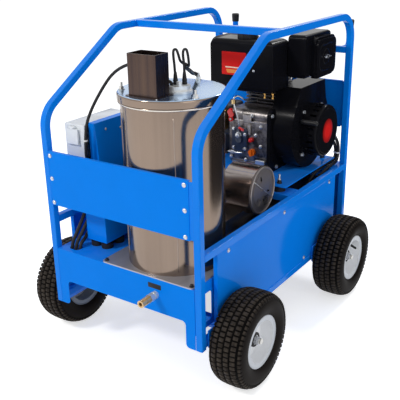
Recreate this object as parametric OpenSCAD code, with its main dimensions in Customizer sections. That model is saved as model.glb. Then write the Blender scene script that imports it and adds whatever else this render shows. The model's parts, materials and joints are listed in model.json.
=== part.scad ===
// Hot-water pressure washer: a diesel engine, pump, upright boiler and burner
// on a bent-tube frame with four pneumatic wheels.
// The origin is on the floor, at the middle of the overall length and width.
// +X is the starter side, +Y the engine end and +Z up.

/* [Frame] */
// Outer width across the two hoops
frame_w = 640; // [620:1:670]
// Outer length over the front and rear posts
frame_l = 1092; // [1080:1:1130]
// Height of the top of the hoops
frame_h = 1120; // [1110:1:1180]
// Height of the bottom of the posts
leg_z = 172; // [160:1:176]
// Side of the square frame tube
tube = 25; // [23:0.5:27]
// Wall of the frame tube
tube_wall = 2; // [1.5:0.1:3]
// Outer corner radius of the frame tube
tube_corner = 3; // [2:0.5:4]
// Bend radius of the hoops, to the middle of the tube
bend_r = 92; // [75:1:100]
// Slope of the raked run of the hoops, from level, in degrees
rake = 31.762; // [31.732:0.03:31.792]
// Height where the raked run and the front post meet, middle to middle
knee_z = 868; // [850:1:880]
// Top of the side rails that carry the engine
rail_top = 503; // [495:1:510]
// Top of the floor rails
floor_top = 203; // [199:1:206]
// Distance from the brow of the hoops to the top cross tube
brow_gap = 98.5; // [85:0.5:120]
// Top of the rear cross tube
rear_cross_top = 985; // [960:1:1000]

/* [Hose hooks] */
// Diameter of the hook tube
hook_d = 25; // [22:0.5:26]
// Clear gap between the frame and the upright of a hook
hook_gap = 53.5; // [45:0.5:70]
// Distance between the two hook uprights, middle to middle
hook_span = 542; // [500:1:560]
// Height of the top of the hook caps
hook_top = 1080; // [1060:1:1095]
// Largest diameter of a hook cap
cap_d = 33; // [30:0.5:36]
// Height of a hook cap
cap_h = 34; // [28:1:40]

/* [Sheet metal] */
// Thickness of the folded sheets
sheet = 2; // [1.5:0.1:3]
// Height of the front deck
deck_z = 387; // [380:1:392]
// Length of the front deck
deck_l = 396; // [385:1:420]
// Width of a front leg of the deck sheet
leg_w = 37; // [30:1:45]
// Height of the bottom edge of the apron
apron_z = 266; // [255:1:280]
// Corner radius of the apron cut-out
apron_r = 14; // [8:1:20]
// Depth of the folded flanges on the panels
flange = 15; // [12:1:20]
// Depth of the folded flanges on the end panels
end_flange = 11; // [8:0.5:12]
// Height of the bottom of the front end panel
end_z = 552; // [540:1:560]
// Height of the front and rear end panels
end_h = 192; // [185:1:200]
// Height of the bottom of the rear end panel
rear_end_z = 655; // [640:1:670]
// Distance from the front posts to the side panels
side_front = 97; // [90:1:105]
// Distance from the rear posts to the side panels
side_rear = 109; // [100:1:115]
// Set-back of the side panels from the outer face of the rails
side_inset = 3; // [2:0.5:5]
// Diameter of a screw head
screw_d = 12; // [10:0.5:14]
// Height of a screw head
screw_h = 4; // [3:0.5:5]

/* [Wheels] */
// Outer diameter of a tyre
wheel_d = 330; // [320:1:334]
// Width of a tyre
wheel_w = 127; // [122:1:132]
// Outer radius of the rim flanges
rim_flange_r = 91.5; // [88:0.5:94]
// Radius of the bead seat
bead_r = 76.2; // [74:0.2:79]
// Half of the width over the rim flanges
rim_half = 50.5; // [47:0.5:53]
// Thickness of the rim steel
rim_t = 2.5; // [2:0.1:3]
// Thickness of the tyre wall
tyre_t = 9; // [7:0.5:11]
// Diameter of an axle
axle_d = 20; // [18:0.5:22]
// Radial running clearance of a hub on its axle
hub_fit = 0.05; // [0.02:0.01:0.1]
// Length of a hub outwards from the middle of the tyre
hub_out = 25; // [22:0.5:28]
// Outer radius of a hub
hub_r = 17; // [15.5:0.5:19]
// Distance from the front posts to the front axle
front_overhang = 168; // [165:1:175]
// Distance from the rear posts to the rear axle
rear_overhang = 178; // [175:1:190]
// Thickness of an axle plate
axle_plate_t = 5; // [4:0.5:6]
// Half of the length of an axle plate
axle_plate_half = 136; // [120:1:140]
// Gap between an axle plate and the tyre
tyre_gap = 2.5; // [2:0.5:6]

/* [Boiler] */
// Distance of the boiler from the middle of the machine
boiler_x = 101; // [98:0.5:103]
// Distance from the front posts to the middle of the boiler
boiler_d = 178; // [177:0.5:182]
// Outer radius of the boiler shell
boiler_r = 165; // [162:0.5:167]
// Thickness of the boiler sheet
boiler_t = 1.5; // [1:0.1:2]
// Side of the square base plate
base_w = 378; // [370:1:384]
// Thickness of the base plate
base_t = 4; // [3:0.5:5]
// Height of the top of the lid
lid_z = 963; // [950:1:975]
// Outer radius of the lid
lid_r = 174.5; // [172:0.5:176]
// Depth of the rim of the lid
lid_rim = 25; // [20:1:30]
// Width of the flue across the machine
flue_w = 106; // [96:1:114]
// Length of the flue along the machine
flue_l = 70; // [64:1:80]
// Height of the flue above the lid
flue_h = 127; // [110:1:132]
// Outer radius of the coil pack
coil_r = 140; // [130:1:145]

/* [Blower] */
// Outer radius of the blower drum
drum_r = 88; // [84:0.5:90]
// Length of the blower drum
drum_l = 120; // [110:1:130]
// Distance of the front cover of the drum from the middle of the machine
drum_x = 243; // [238:1:248]
// Distance from the front posts to the middle of the drum
drum_d = 504; // [500:1:506]
// Height of the middle of the drum
drum_z = 549; // [545:1:555]
// Width of the air duct
duct_w = 90; // [80:1:96]
// Height of the air duct
duct_h = 50; // [44:1:56]
// Radius of the blower fan
fan_r = 70; // [60:1:76]

/* [Engine] */
// Top of the engine deck
engine_z = 530; // [527:1:534]
// Thickness of the engine deck
engine_deck_t = 4; // [3:0.5:5]
// Gap between the engine deck and the rails
deck_side_gap = 16; // [12:1:20]
// Length of the engine deck
engine_deck_l = 440; // [430:1:446]
// Distance from the rear posts to the engine deck
engine_deck_rear = 34; // [30:1:36]
// Distance from the rear posts to the crankshaft
crank_d = 177; // [174:1:180]
// Height of the crankshaft above the engine deck
crank_h = 150; // [147:1:154]
// Diameter of the crankshaft
crank_dia = 30; // [26:1:34]
// Radial running clearance of the crankshaft
crank_fit = 0.05; // [0.02:0.01:0.1]
// Distance of the crankcase face from the middle of the machine
case_x = 137; // [134:1:140]
// Length of the crankcase
case_l = 197; // [190:1:200]
// Depth of the fan shroud
shroud_t = 100; // [96:1:104]
// Radius of the fan scroll
scroll_r = 162; // [158:0.5:163]
// Radius of the flywheel
flywheel_r = 132; // [120:1:138]
// Radius of the starter drum
starter_r = 103; // [98:0.5:106]
// Depth of the starter
starter_t = 66; // [62:1:68]
// Depth of the crankcase, from its front to the side of the fuel filter
case_d = 275; // [268:1:280]
// Height of the crankcase
case_h = 230; // [224:1:234]
// Height of the finned cylinder
cyl_h = 140; // [134:1:144]
// Width of the cylinder fins
fin_w = 150; // [140:1:154]
// Depth of the cylinder fins
fin_d = 140; // [130:1:144]
// Width of the engine fuel tank
tank_w = 271; // [262:1:276]
// Height of the engine fuel tank
tank_h = 194; // [186:1:198]
// Depth of the engine fuel tank
tank_t = 126; // [120:1:130]
// Radius of the fuel tank cap
tank_cap_r = 37; // [33:0.5:40]
// Width of the air cleaner
cleaner_w = 180; // [174:1:183]
// Height of the air cleaner cover
cleaner_h = 152; // [146:1:156]

/* [Fuel tank] */
// Distance of the fuel tank behind the front posts
fuel_tank_d = 416; // [414:1:424]

/* [Pump] */
// Length of the pump crankcase
pump_l = 118; // [110:1:122]
// Height of the pump crankcase
pump_h = 130; // [124:1:138]
// Depth of the pump crankcase
pump_w = 116; // [110:1:120]
// Bore of the water inlet
inlet_d = 19; // [16:0.5:21]

/* [Control] */
// Width of the control cabinet at its foot
cabinet_w = 89; // [84:1:92]
// Length of the control cabinet
cabinet_l = 240; // [230:1:250]
// Height of the control cabinet
cabinet_h = 428; // [420:1:434]
// Height of the rubber feet of the cabinet
cabinet_foot = 25; // [20:1:28]
// Height of the switch box
box_h = 218; // [208:1:222]
// Length of the switch box
box_l = 232; // [224:1:240]
// Width of the switch box
box_w = 88; // [82:1:92]

/* [Outlet] */
// Distance of the water outlet from the middle of the machine
outlet_x = 141; // [130:1:150]
// Height of the water outlet
outlet_z = 330; // [322:1:336]
// Length of the outlet nipple in front of the apron
nipple_l = 38; // [34:1:42]
// Length of the outlet coupler
coupler_l = 40; // [34:1:44]
// Bore of the outlet coupler
outlet_d = 14; // [12:0.5:16]

/* [Hidden] */
$fn = 48;

seat = 0.3;                    // gap between soft or moving pieces and what carries them
weld_gap = 0.5;                // gap of a panel that lies between two posts
hook_out = hook_gap + hook_d / 2 + cap_d / 2;
outlet_out = nipple_l + coupler_l;
front_y = (outlet_out - frame_l - hook_out) / 2;
rear_y = front_y + frame_l;
side_x = frame_w / 2;
inner_x = side_x - tube;
post_y = front_y + tube / 2;
rear_post_y = rear_y - tube / 2;
hoop_x = side_x - tube / 2;
top_mid_z = frame_h - tube / 2;
brow_y = post_y + (top_mid_z - knee_z) / tan(rake);
rail_mid_z = rail_top - tube / 2;
floor_mid_z = floor_top - tube / 2;
inner_l = frame_l - 2 * tube;

axle_z = wheel_d / 2;
axle_y = [front_y + front_overhang, rear_y - rear_overhang];
plate_x = side_x + axle_plate_t;
tyre_x = plate_x + tyre_gap + wheel_w / 2;
hub_in = wheel_w / 2 + tyre_gap - seat;

boiler_y = front_y + boiler_d;
base_z = deck_z + base_t;
lid_under = lid_z - lid_rim;
flue_x = boiler_x - 4;
flue_y = boiler_y - 109;
burner_x = boiler_x + 47;
burner_y = boiler_y - 24;
burner_h = 14;

drum_y = front_y + drum_d;
crank_y = rear_y - crank_d;
crank_z = engine_z + crank_h;
case_back = case_x - case_l;
shroud_face = case_x + shroud_t;
starter_face = shroud_face + starter_t;
deck_half = inner_x - deck_side_gap;
engine_deck_y = rear_y - engine_deck_rear - engine_deck_l;
engine_under = engine_z - engine_deck_t;
mount_x = deck_half - 43;
mount_y = [engine_deck_y + 32, rear_y - engine_deck_rear - 32];
tray_w = 80;

tank_x = case_x + 48 - tank_w;
tank_y = crank_y - 239;
tank_z = crank_z + 172;
tank_cap_x = tank_x + tank_w / 2 - 11;
cleaner_x = starter_face - 44;
cleaner_y = crank_y - 88;
cleaner_z = crank_z + 213;
cleaner_mid_y = cleaner_y + cleaner_w / 2;

bell_l = 58;
pump_x = case_back - bell_l - pump_l;
pump_y = crank_y - pump_w / 2;
pump_z = crank_z - pump_h / 2;
head_d = 62;

cabinet_x = -219;
cabinet_y = front_y + 78;
cabinet_z = deck_z + cabinet_foot;
ledge_h = 205;
box_x = cabinet_x - 43;
box_y = cabinet_y - 20;
box_z = cabinet_z + ledge_h + seat;

// Rounded rectangle in the plane, centred
module round_rect(w, h, r) {
    square([w - 2 * r, h], center = true);
    square([w, h - 2 * r], center = true);
    for (sx = [-1, 1], sy = [-1, 1])
        translate([sx * (w / 2 - r), sy * (h / 2 - r)]) circle(r);
}

// Block with two sets of rounded edges, from its lowest corner
module round_block(size, r_side, r_top) {
    translate(size / 2) intersection() {
        rotate([90, 0, 0]) linear_extrude(size.y, center = true) round_rect(size.x, size.z, r_side);
        rotate([90, 0, 90]) linear_extrude(size.x, center = true) round_rect(size.y, size.z, r_top);
    }
}

// Block with rounded upright edges, from its lowest corner
module post_block(size, r) {
    translate([size.x / 2, size.y / 2, 0]) linear_extrude(size.z) round_rect(size.x, size.y, r);
}

module tube_section() {
    difference() {
        round_rect(tube, tube, tube_corner);
        square(tube - 2 * tube_wall, center = true);
    }
}

module ring_section(d, wall) {
    difference() {
        circle(d = d);
        circle(d = d - 2 * wall);
    }
}

// Cylinder along +X or -X from a point
module rod_x(p, l, r) translate(p) rotate([0, l > 0 ? 90 : -90, 0]) cylinder(h = abs(l), r = r);

// Cylinder along -Y from a point
module rod_front(p, l, r) translate(p) rotate([90, 0, 0]) cylinder(h = l, r = r);

// Straight run of a bent tube along +X; the first child is its section, the second is carried on from its end
module run(l) {
    rotate([90, 0, 90]) linear_extrude(l) children(0);
    translate([l, 0, 0]) children(1);
}

// Bend to the right in the plane of X and Y, with the same two children
module bend(r, a) {
    translate([0, -r, 0]) {
        rotate([0, 0, 90 - a]) rotate_extrude(angle = a) translate([r, 0]) children(0);
        rotate([0, 0, -a]) translate([0, r, 0]) children(1);
    }
}

module last_run(l) rotate([90, 0, 90]) linear_extrude(l) children();

// Path of an upright hoop: front post, raked run, top run and rear post, carrying its section as a child
module hoop_path(x, more) {
    trim_knee = bend_r * tan((90 - rake) / 2);
    trim_brow = bend_r * tan(rake / 2);
    raked = norm([brow_y - post_y, top_mid_z - knee_z]);
    translate([x, post_y, leg_z - more]) rotate([90, 0, 90]) rotate([0, 0, 90])
        run(knee_z - leg_z - trim_knee + more) {
            children();
            bend(bend_r, 90 - rake) {
                children();
                run(raked - trim_knee - trim_brow) {
                    children();
                    bend(bend_r, rake) {
                        children();
                        run(rear_post_y - brow_y - trim_brow - bend_r) {
                            children();
                            bend(bend_r, 90) {
                                children();
                                last_run(top_mid_z - bend_r - leg_z + more) children();
                            }
                        }
                    }
                }
            }
        }
}

module hoop(x) {
    difference() {
        hoop_path(x, 0) round_rect(tube, tube, tube_corner);
        hoop_path(x, 1) square(tube - 2 * tube_wall, center = true);
    }
}

module hoop_left() color("royalblue") hoop(-hoop_x);

module hoop_right() color("royalblue") hoop(hoop_x);

// Square tube across the machine between the hoops
module cross_tube(y, z) translate([-inner_x, y, z]) rotate([90, 0, 90]) linear_extrude(2 * inner_x) tube_section();

// Square tube along the machine between the posts
module side_tube(x, z) translate([x, front_y + tube, z]) rotate([-90, 0, 0]) linear_extrude(inner_l) tube_section();

// Hose hook: a round tube that leaves the rear cross tube and turns up
module hose_hook(x) {
    out = hook_gap + hook_d / 2;
    z0 = rear_cross_top - tube / 2;
    translate([x, rear_y + out, hook_top - 3]) rotate([90, 0, 90]) rotate([0, 0, -90])
        run(hook_top - 3 - z0 - hook_d) {
            ring_section(hook_d, tube_wall);
            bend(hook_d, 90) {
                ring_section(hook_d, tube_wall);
                last_run(out - hook_d + 0.2) ring_section(hook_d, tube_wall);
            }
        }
}

module cross_tubes() {
    color("royalblue") {
        cross_tube(brow_y + brow_gap + tube / 2, top_mid_z);
        cross_tube(rear_post_y, rear_cross_top - tube / 2);
        for (s = [-1, 1]) hose_hook(s * hook_span / 2);
    }
}

module hook_caps() {
    out = hook_gap + hook_d / 2;
    fit_r = hook_d / 2 + 0.1;
    color("dimgray") for (s = [-1, 1]) translate([s * hook_span / 2, rear_y + out, hook_top - cap_h])
        rotate_extrude() polygon([[fit_r, 0], [fit_r + 2, 0], [cap_d / 2, cap_h - 4], [cap_d / 2 - 3, cap_h],
            [0, cap_h], [0, cap_h - 2.9], [fit_r, cap_h - 2.9]]);
}

// Screw places on the panels: [x, z] on the end panels and [y, z] on the side panels
end_right = inner_x - 13;
end_screw_x = [-inner_x + 9, end_right - 15];
end_screw_s = [10, end_h / 2, end_h - 15];
side_y0 = front_y + side_front;
side_y1 = rear_y - side_rear;
side_z0 = floor_top + weld_gap;
side_z1 = rail_top - tube - weld_gap;
side_mid_y = (side_y0 + side_y1) / 2;
side_screws = [[side_y0 + 65, side_z1 - 11], [side_mid_y, side_z1 - 11], [side_y1 - 60, side_z1 - 11],
    [side_mid_y + 175, side_z0 + 11]];
apron_screws = [for (sx = [-1, 1], z = [floor_top + 35, rail_top - 60]) [sx * (inner_x - 22), z]];
tab_t = 3;

// Folded tray across the machine that carries the rubber mounts of the engine
module engine_tray(y) {
    translate([-inner_x, y - tray_w / 2, rail_top - tube]) difference() {
        cube([2 * inner_x, tray_w, tube]);
        translate([-1, 3, -1]) cube([2 * inner_x + 2, tray_w - 6, tube - 3]);
    }
}

module base_rails() {
    color("royalblue") {
        for (s = [-1, 1]) {
            side_tube(s * hoop_x, rail_mid_z);
            side_tube(s * hoop_x, floor_mid_z);
            for (q = side_screws) {
                low = q.y < rail_mid_z - 100;
                translate([s * (side_x - side_inset - sheet - tab_t / 2) - tab_t / 2, q.x - 12,
                    low ? floor_top - 2 : q.y - 12])
                    cube([tab_t, 24, low ? q.y - floor_top + 14 : rail_top - tube - q.y + 14]);
            }
        }
        for (y = [axle_y[0], boiler_y + base_w / 2, crank_y - 130, axle_y[1]]) cross_tube(y, floor_mid_z);
        cross_tube(rear_post_y, rail_mid_z);
        for (y = mount_y) engine_tray(y);
        for (x = [-inner_x, end_right - 20], q = [[front_y + sheet, end_z], [rear_y - sheet - tab_t, rear_end_z]])
            translate([x, q.x, q.y + sheet + 1])
                cube([inner_x - (x < 0 ? inner_x - 24 : x), tab_t, end_h - 2 * sheet - 2]);
        for (q = apron_screws) translate([q.x > 0 ? q.x - 10 : -inner_x, rear_y - sheet - tab_t, q.y - 12])
            cube([inner_x - abs(q.x) + 10, tab_t, 24]);
    }
}

// Apron outline with its two legs, drawn in the plane of X and Z
module apron_outline(w) {
    cut_x = w / 2 - leg_w;
    difference() {
        translate([-w / 2, leg_z]) square([w, deck_z - leg_z]);
        translate([0, (apron_z + leg_z) / 2 - 20]) round_rect(2 * cut_x, apron_z - leg_z + 40, apron_r);
        for (s = [-1, 1]) translate([s * (cut_x + apron_r), leg_z + apron_r]) difference() {
            translate([s > 0 ? -apron_r - 1 : 0, -apron_r - 1]) square([apron_r + 1, apron_r + 1]);
            circle(apron_r);
        }
        translate([outlet_x, outlet_z]) circle(r = 10.5);
    }
}

cable_hole = [-240, front_y + 38];
module front_deck() {
    w = 2 * (inner_x - weld_gap);
    slot_z = 244;
    slot_h = 105;
    skirt_z = 225;
    color("dodgerblue") {
        translate([0, front_y + sheet, 0]) rotate([90, 0, 0]) linear_extrude(sheet) apron_outline(w);
        translate([0, front_y + deck_l / 2, deck_z - sheet]) linear_extrude(sheet) difference() {
            square([w, deck_l], center = true);
            translate([cable_hole.x, cable_hole.y - front_y - deck_l / 2]) round_rect(46, 34, 15);
            translate([boiler_x, boiler_d - deck_l / 2]) circle(r = 60);
        }
        for (s = [-1, 1]) translate([s * (w / 2 - sheet / 2) - sheet / 2, front_y, 0]) rotate([90, 0, 90])
            linear_extrude(sheet) difference() {
                translate([0, skirt_z]) square([deck_l, deck_z - skirt_z]);
                translate([66, slot_z + slot_h / 2]) round_rect(58, slot_h, 12);
                for (k = [1, 2]) translate([66 + k * 120, slot_z + slot_h / 2]) round_rect(80, slot_h, 12);
            }
    }
}

module rear_apron() {
    w = 2 * (inner_x - weld_gap);
    top = rail_top - tube - weld_gap;
    color("dodgerblue") difference() {
        translate([-w / 2, rear_y - flange, floor_top - tube]) cube([w, flange, top - floor_top + tube]);
        translate([-w / 2 - 1, rear_y - flange - 1, floor_top - tube + sheet])
            cube([w + 2, flange - sheet + 1, top - floor_top + tube - 2 * sheet]);
        for (q = apron_screws) rod_front([q.x, rear_y + 1, q.y], 6, 3.2);
    }
}

// Folded end panel: a face with a flange along its top and bottom
module end_tray(y, out) {
    w = end_right + inner_x - weld_gap;
    y0 = out > 0 ? y - end_flange : y;
    difference() {
        translate([-inner_x + weld_gap, y0, 0]) cube([w, end_flange, end_h]);
        translate([-inner_x + weld_gap - 1, out > 0 ? y0 - 1 : y0 + sheet, sheet])
            cube([w + 2, end_flange - sheet + 1, end_h - 2 * sheet]);
        for (x = end_screw_x, z = end_screw_s) rod_front([x, y + 10, z], 20, 3.2);
    }
}

module end_panel() color("dodgerblue") translate([0, 0, end_z]) end_tray(front_y, -1);

module rear_panel() color("dodgerblue") translate([0, 0, rear_end_z]) end_tray(rear_y, 1);

// Folded side panel, set between the rails
module side_panel(s) {
    x1 = side_x - side_inset;
    difference() {
        translate([s > 0 ? x1 - flange : -x1, side_y0, side_z0])
            cube([flange, side_y1 - side_y0, side_z1 - side_z0]);
        translate([s > 0 ? x1 - flange - 1 : -x1 + sheet, side_y0 + sheet, side_z0 - 1])
            cube([flange - sheet + 1, side_y1 - side_y0 - 2 * sheet, side_z1 - side_z0 + 2]);
        for (q = side_screws) rod_x([s * (x1 - 10), q.x, q.y], s * 20, 3.2);
    }
}

module side_panel_left() color("mediumblue") side_panel(-1);

module side_panel_right() color("mediumblue") side_panel(1);

// Screw with a domed head and a washer; its axis leaves along +Z
module screw(grip) {
    cylinder(h = 1.2, d = screw_d + 3);
    translate([0, 0, 1.2]) intersection() {
        cylinder(h = screw_h, d = screw_d);
        translate([0, 0, screw_h - screw_d * 0.75]) sphere(d = screw_d * 1.5);
    }
    translate([0, 0, -grip]) cylinder(h = grip + 1, r = 3);
}

module panel_screws() {
    grip = sheet + 0.5;
    color("silver") {
        for (x = end_screw_x, z = end_screw_s) {
            translate([x, front_y, end_z + z]) rotate([90, 0, 0]) screw(grip - 0.5);
            translate([x, rear_y, rear_end_z + z]) rotate([-90, 0, 0]) screw(grip - 0.5);
        }
        for (s = [-1, 1], q = side_screws)
            translate([s * (side_x - side_inset), q.x, q.y]) rotate([0, s * 90, 0]) screw(grip - 0.5);
        for (q = apron_screws) translate([q.x, rear_y, q.y]) rotate([-90, 0, 0]) screw(grip - 0.5);
        for (x = [-1, 1], y = mount_y) translate([x * mount_x, y, engine_z + cone_h]) {
            cylinder(h = 3, r = 7);
            cylinder(h = 22, r = 4);
        }
    }
}

cone_h = 14;
cabinet_feet = [for (x = [22, 69], y = [24, 84, cabinet_l - 30]) [cabinet_x + x, cabinet_y + y]];
module rubber_mounts() {
    color("#202020") {
        for (x = [-1, 1], y = mount_y) translate([x * mount_x, y, 0]) {
            translate([0, 0, rail_top]) cylinder(h = engine_under - rail_top, r = 25);
            translate([0, 0, engine_z]) cylinder(h = cone_h, r1 = 10, r2 = 7);
        }
        for (q = cabinet_feet) translate([q.x, q.y, deck_z]) {
            cylinder(h = cabinet_foot * 0.7, r = 21);
            cylinder(h = cabinet_foot, r = 15);
        }
    }
}

module engine_deck() {
    color("dodgerblue") translate([-deck_half, engine_deck_y, engine_under])
        post_block([2 * deck_half, engine_deck_l, engine_deck_t], 8);
}

// Axle bar and its plates
module axles() {
    plate_h = 87;
    chamfer = 26;
    color("lightsteelblue") for (y = axle_y) {
        rod_x([-(tyre_x + hub_out + 24), y, axle_z], 2 * (tyre_x + hub_out + 24), axle_d / 2);
        for (s = [-1, 1]) translate([s * (side_x + axle_plate_t / 2) - axle_plate_t / 2, y, axle_z - 15])
            rotate([90, 0, 90]) linear_extrude(axle_plate_t) polygon([[-axle_plate_half + chamfer, 0],
                [axle_plate_half - chamfer, 0], [axle_plate_half, chamfer], [axle_plate_half, plate_h],
                [-axle_plate_half, plate_h], [-axle_plate_half, chamfer]]);
    }
}

module axle_nuts() {
    color("silver") for (y = axle_y, s = [-1, 1]) translate([s * (tyre_x + hub_out + seat), y, axle_z])
        rotate([0, s * 90, 0]) difference() {
            union() {
                cylinder(h = 3, r = 15);
                translate([0, 0, 3]) cylinder(h = 14, r = 15, $fn = 6);
            }
            translate([0, 0, -1]) cylinder(h = 20, r = axle_d / 2);
        }
}

// Tyre: a rounded casing on two bead seats, open towards the rim
module tyre(s, y) {
    round_r = 36;
    mid_r = wheel_d / 2 - round_r;
    half = wheel_w / 2 - round_r;
    bead = rim_half - rim_t - seat;
    color("#1c1c1c") translate([s * tyre_x, y, axle_z]) rotate([0, 90, 0]) rotate_extrude($fn = 96) difference() {
        union() {
            for (k = [-1, 1]) translate([mid_r, k * half]) circle(round_r);
            translate([mid_r - round_r + 1, -half]) square([2 * round_r - 1, 2 * half]);
            translate([bead_r, -bead]) square([mid_r - round_r + 10 - bead_r, 2 * bead]);
        }
        for (k = [-1, 1]) translate([mid_r, k * half]) circle(round_r - tyre_t);
        translate([mid_r - 27, -half]) square([27 + round_r - tyre_t, 2 * half]);
        translate([bead_r - 1, tyre_t - bead]) square([mid_r - round_r + 11 - bead_r, 2 * bead - 2 * tyre_t]);
    }
}

module tyre_fl() tyre(-1, axle_y[0]);

module tyre_fr() tyre(1, axle_y[0]);

module tyre_rl() tyre(-1, axle_y[1]);

module tyre_rr() tyre(1, axle_y[1]);

// Rim: two pressed half shells on a hub tube; the disc is dished towards the outside
module rim(s, y) {
    b = bead_r - rim_t;
    disc_r = 50;
    bore_r = axle_d / 2 + hub_fit;
    color("white") translate([s * tyre_x, y, axle_z]) rotate([0, s * 90, 0]) {
        rotate_extrude($fn = 96) {
            translate([b, -rim_half]) square([rim_t, 2 * rim_half]);
            for (k = [-1, 1]) {
                translate([b, k * (rim_half - rim_t / 2) - rim_t / 2]) square([rim_flange_r - b - 1, rim_t]);
                translate([rim_flange_r - 2, k * (rim_half - 0.1)]) circle(r = 2, $fn = 24);
            }
            translate([disc_r, -rim_t]) square([b - disc_r + 1, 2 * rim_t]);
            polygon([[hub_r - 1, 8], [disc_r, -rim_t], [disc_r, rim_t], [hub_r - 1, 13]]);
        }
        rotate_extrude() translate([bore_r, -hub_in]) square([hub_r - bore_r, hub_in + hub_out]);
    }
}

module rim_fl() rim(-1, axle_y[0]);

module rim_fr() rim(1, axle_y[0]);

module rim_rl() rim(-1, axle_y[1]);

module rim_rr() rim(1, axle_y[1]);

base_hole = 14;
base_bolts = [for (sx = [-1, 1], sy = [-1, 1])
    [boiler_x + sx * (base_w / 2 - base_hole), front_y + base_w / 2 + sy * (base_w / 2 - base_hole)]];
module boiler_base() {
    color("lightgray") difference() {
        union() {
            translate([boiler_x - base_w / 2, front_y, deck_z]) post_block([base_w, base_w, base_t], 15);
            translate([boiler_x, boiler_y, base_z - 1]) cylinder(h = 11, r = boiler_r - boiler_t - 0.1, $fn = 96);
        }
        translate([boiler_x, boiler_y, base_z]) cylinder(h = 20, r = boiler_r - boiler_t - 3, $fn = 96);
    }
}

// Block of the air duct from the drum to the boiler, grown by a margin
duct_z = drum_z - drum_r - 14;
module duct_block(grow) {
    translate([drum_x - drum_l + 10 - grow, boiler_y, duct_z - grow])
        cube([duct_w + 2 * grow, drum_y - boiler_y, duct_h + 2 * grow]);
}

coil_inlet = [28, 470];
module boiler_shell() {
    color("silver") difference() {
        union() {
            translate([boiler_x, boiler_y, base_z]) cylinder(h = lid_under - base_z, r = boiler_r, $fn = 96);
            rod_front([coil_inlet.x, boiler_y + boiler_r - 1, coil_inlet.y], 30, 11);
        }
        translate([boiler_x, boiler_y, base_z - 1]) cylinder(h = lid_under, r = boiler_r - boiler_t, $fn = 96);
        duct_block(-sheet);
    }
}

coil_pipe = 26;
coil_turns = 17;
module heating_coil() {
    pitch = coil_pipe - 1;
    color("dimgray") translate([boiler_x, boiler_y, base_z]) rotate_extrude($fn = 96)
        for (i = [0 : coil_turns - 1])
            translate([coil_r - coil_pipe / 2, coil_pipe / 2 + i * pitch]) circle(d = coil_pipe, $fn = 24);
}

lid_studs = [for (a = [93, 213, 333]) [boiler_x + 158 * cos(a), boiler_y + 158 * sin(a)]];
module boiler_lid() {
    shoulder = 6;
    color("lightgray") difference() {
        translate([boiler_x, boiler_y, 0]) rotate_extrude($fn = 96) {
            translate([0, lid_z - boiler_t]) square([lid_r - shoulder, boiler_t]);
            translate([lid_r - boiler_t, lid_under]) square([boiler_t, lid_rim - shoulder]);
            translate([boiler_r - 14, lid_under]) square([lid_r - boiler_r + 14, boiler_t]);
            intersection() {
                translate([lid_r - shoulder, lid_z - shoulder]) square(shoulder);
                translate([lid_r - shoulder, lid_z - shoulder]) ring_section(2 * shoulder, boiler_t);
            }
            translate([boiler_r + 0.1, lid_under - 8]) square([4, 8.5]);
            translate([boiler_r + 4.2, lid_under - 4.5]) circle(r = 4, $fn = 24);
        }
        translate([flue_x, flue_y, lid_z]) cube([flue_w - 2 * sheet, flue_l - 2 * sheet, 20], center = true);
        translate([burner_x, burner_y, lid_z - 10]) cylinder(h = 20, r = 24);
        for (q = lid_studs) translate([q.x, q.y, lid_z - 5]) cylinder(h = 10, r = 4.5);
    }
}

module boiler_nuts() {
    color("silver") for (q = lid_studs) translate([q.x, q.y, 0]) {
        translate([0, 0, lid_under + boiler_t]) cylinder(h = lid_rim + 22, r = 4);
        translate([0, 0, lid_z]) cylinder(h = 2, r = 10);
        translate([0, 0, lid_z + 2]) cylinder(h = 8, r = 8, $fn = 6);
    }
    color("#202020") for (q = base_bolts) translate([q.x, q.y, base_z]) {
        cylinder(h = 1.5, r = 8);
        cylinder(h = 7, r = 5.5);
    }
}

module flue() {
    color("silver") translate([flue_x, flue_y, lid_z]) difference() {
        union() {
            linear_extrude(flue_h) round_rect(flue_w, flue_l, 5);
            linear_extrude(sheet) round_rect(flue_w + 16, flue_l + 16, 6);
        }
        translate([0, 0, -1]) linear_extrude(flue_h + 2) round_rect(flue_w - 2 * sheet, flue_l - 2 * sheet, 3);
    }
}

boots = [[burner_x - 18, burner_y + 7], [burner_x + 4, burner_y + 24]];
boot_base = lid_z + 6 + burner_h;
module burner_head() {
    color("lightgray") translate([burner_x, burner_y, 0]) {
        translate([0, 0, lid_z]) cylinder(h = 6, r = 40);
        translate([0, 0, lid_z + 6]) rotate([0, 0, 60]) linear_extrude(burner_h) {
            square([26, 46], center = true);
            for (k = [-1, 1]) translate([k * 13, 0]) circle(23);
        }
        translate([0, 0, lid_z - 110]) cylinder(h = 112, r = 22);
    }
    color("goldenrod") translate([burner_x + 8, burner_y - 12, boot_base]) cylinder(h = 14, r = 9, $fn = 6);
}

// Smooth point on a route: cubic curve through the points
function on_route(p, i, t) = let (a = p[max(i - 1, 0)], b = p[i], c = p[i + 1], d = p[min(i + 2, len(p) - 1)])
    0.5 * (2 * b + (c - a) * t + (2 * a - 5 * b + 4 * c - d) * t * t + (3 * b - a - 3 * c + d) * t * t * t);
function smooth(p, n) = [for (i = [0 : len(p) - 2], k = [0 : n - 1]) on_route(p, i, k / n), p[len(p) - 1]];
function unit(v) = v / norm(v);
function swing(u, t) = unit(u - (u * t) * t);
// Direction of a cord at ring i of its smooth route q; both ends lie square to what they meet
function heading(p, q, i) = i == 0 ? unit(p[1] - p[0])
    : i == len(q) - 1 ? unit(p[len(p) - 1] - p[len(p) - 2]) : unit(q[i + 1] - q[i - 1]);
function normals(t, i, u) = i >= len(t) ? [] : let (w = swing(u, t[i])) concat([w], normals(t, i + 1, w));

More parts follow.
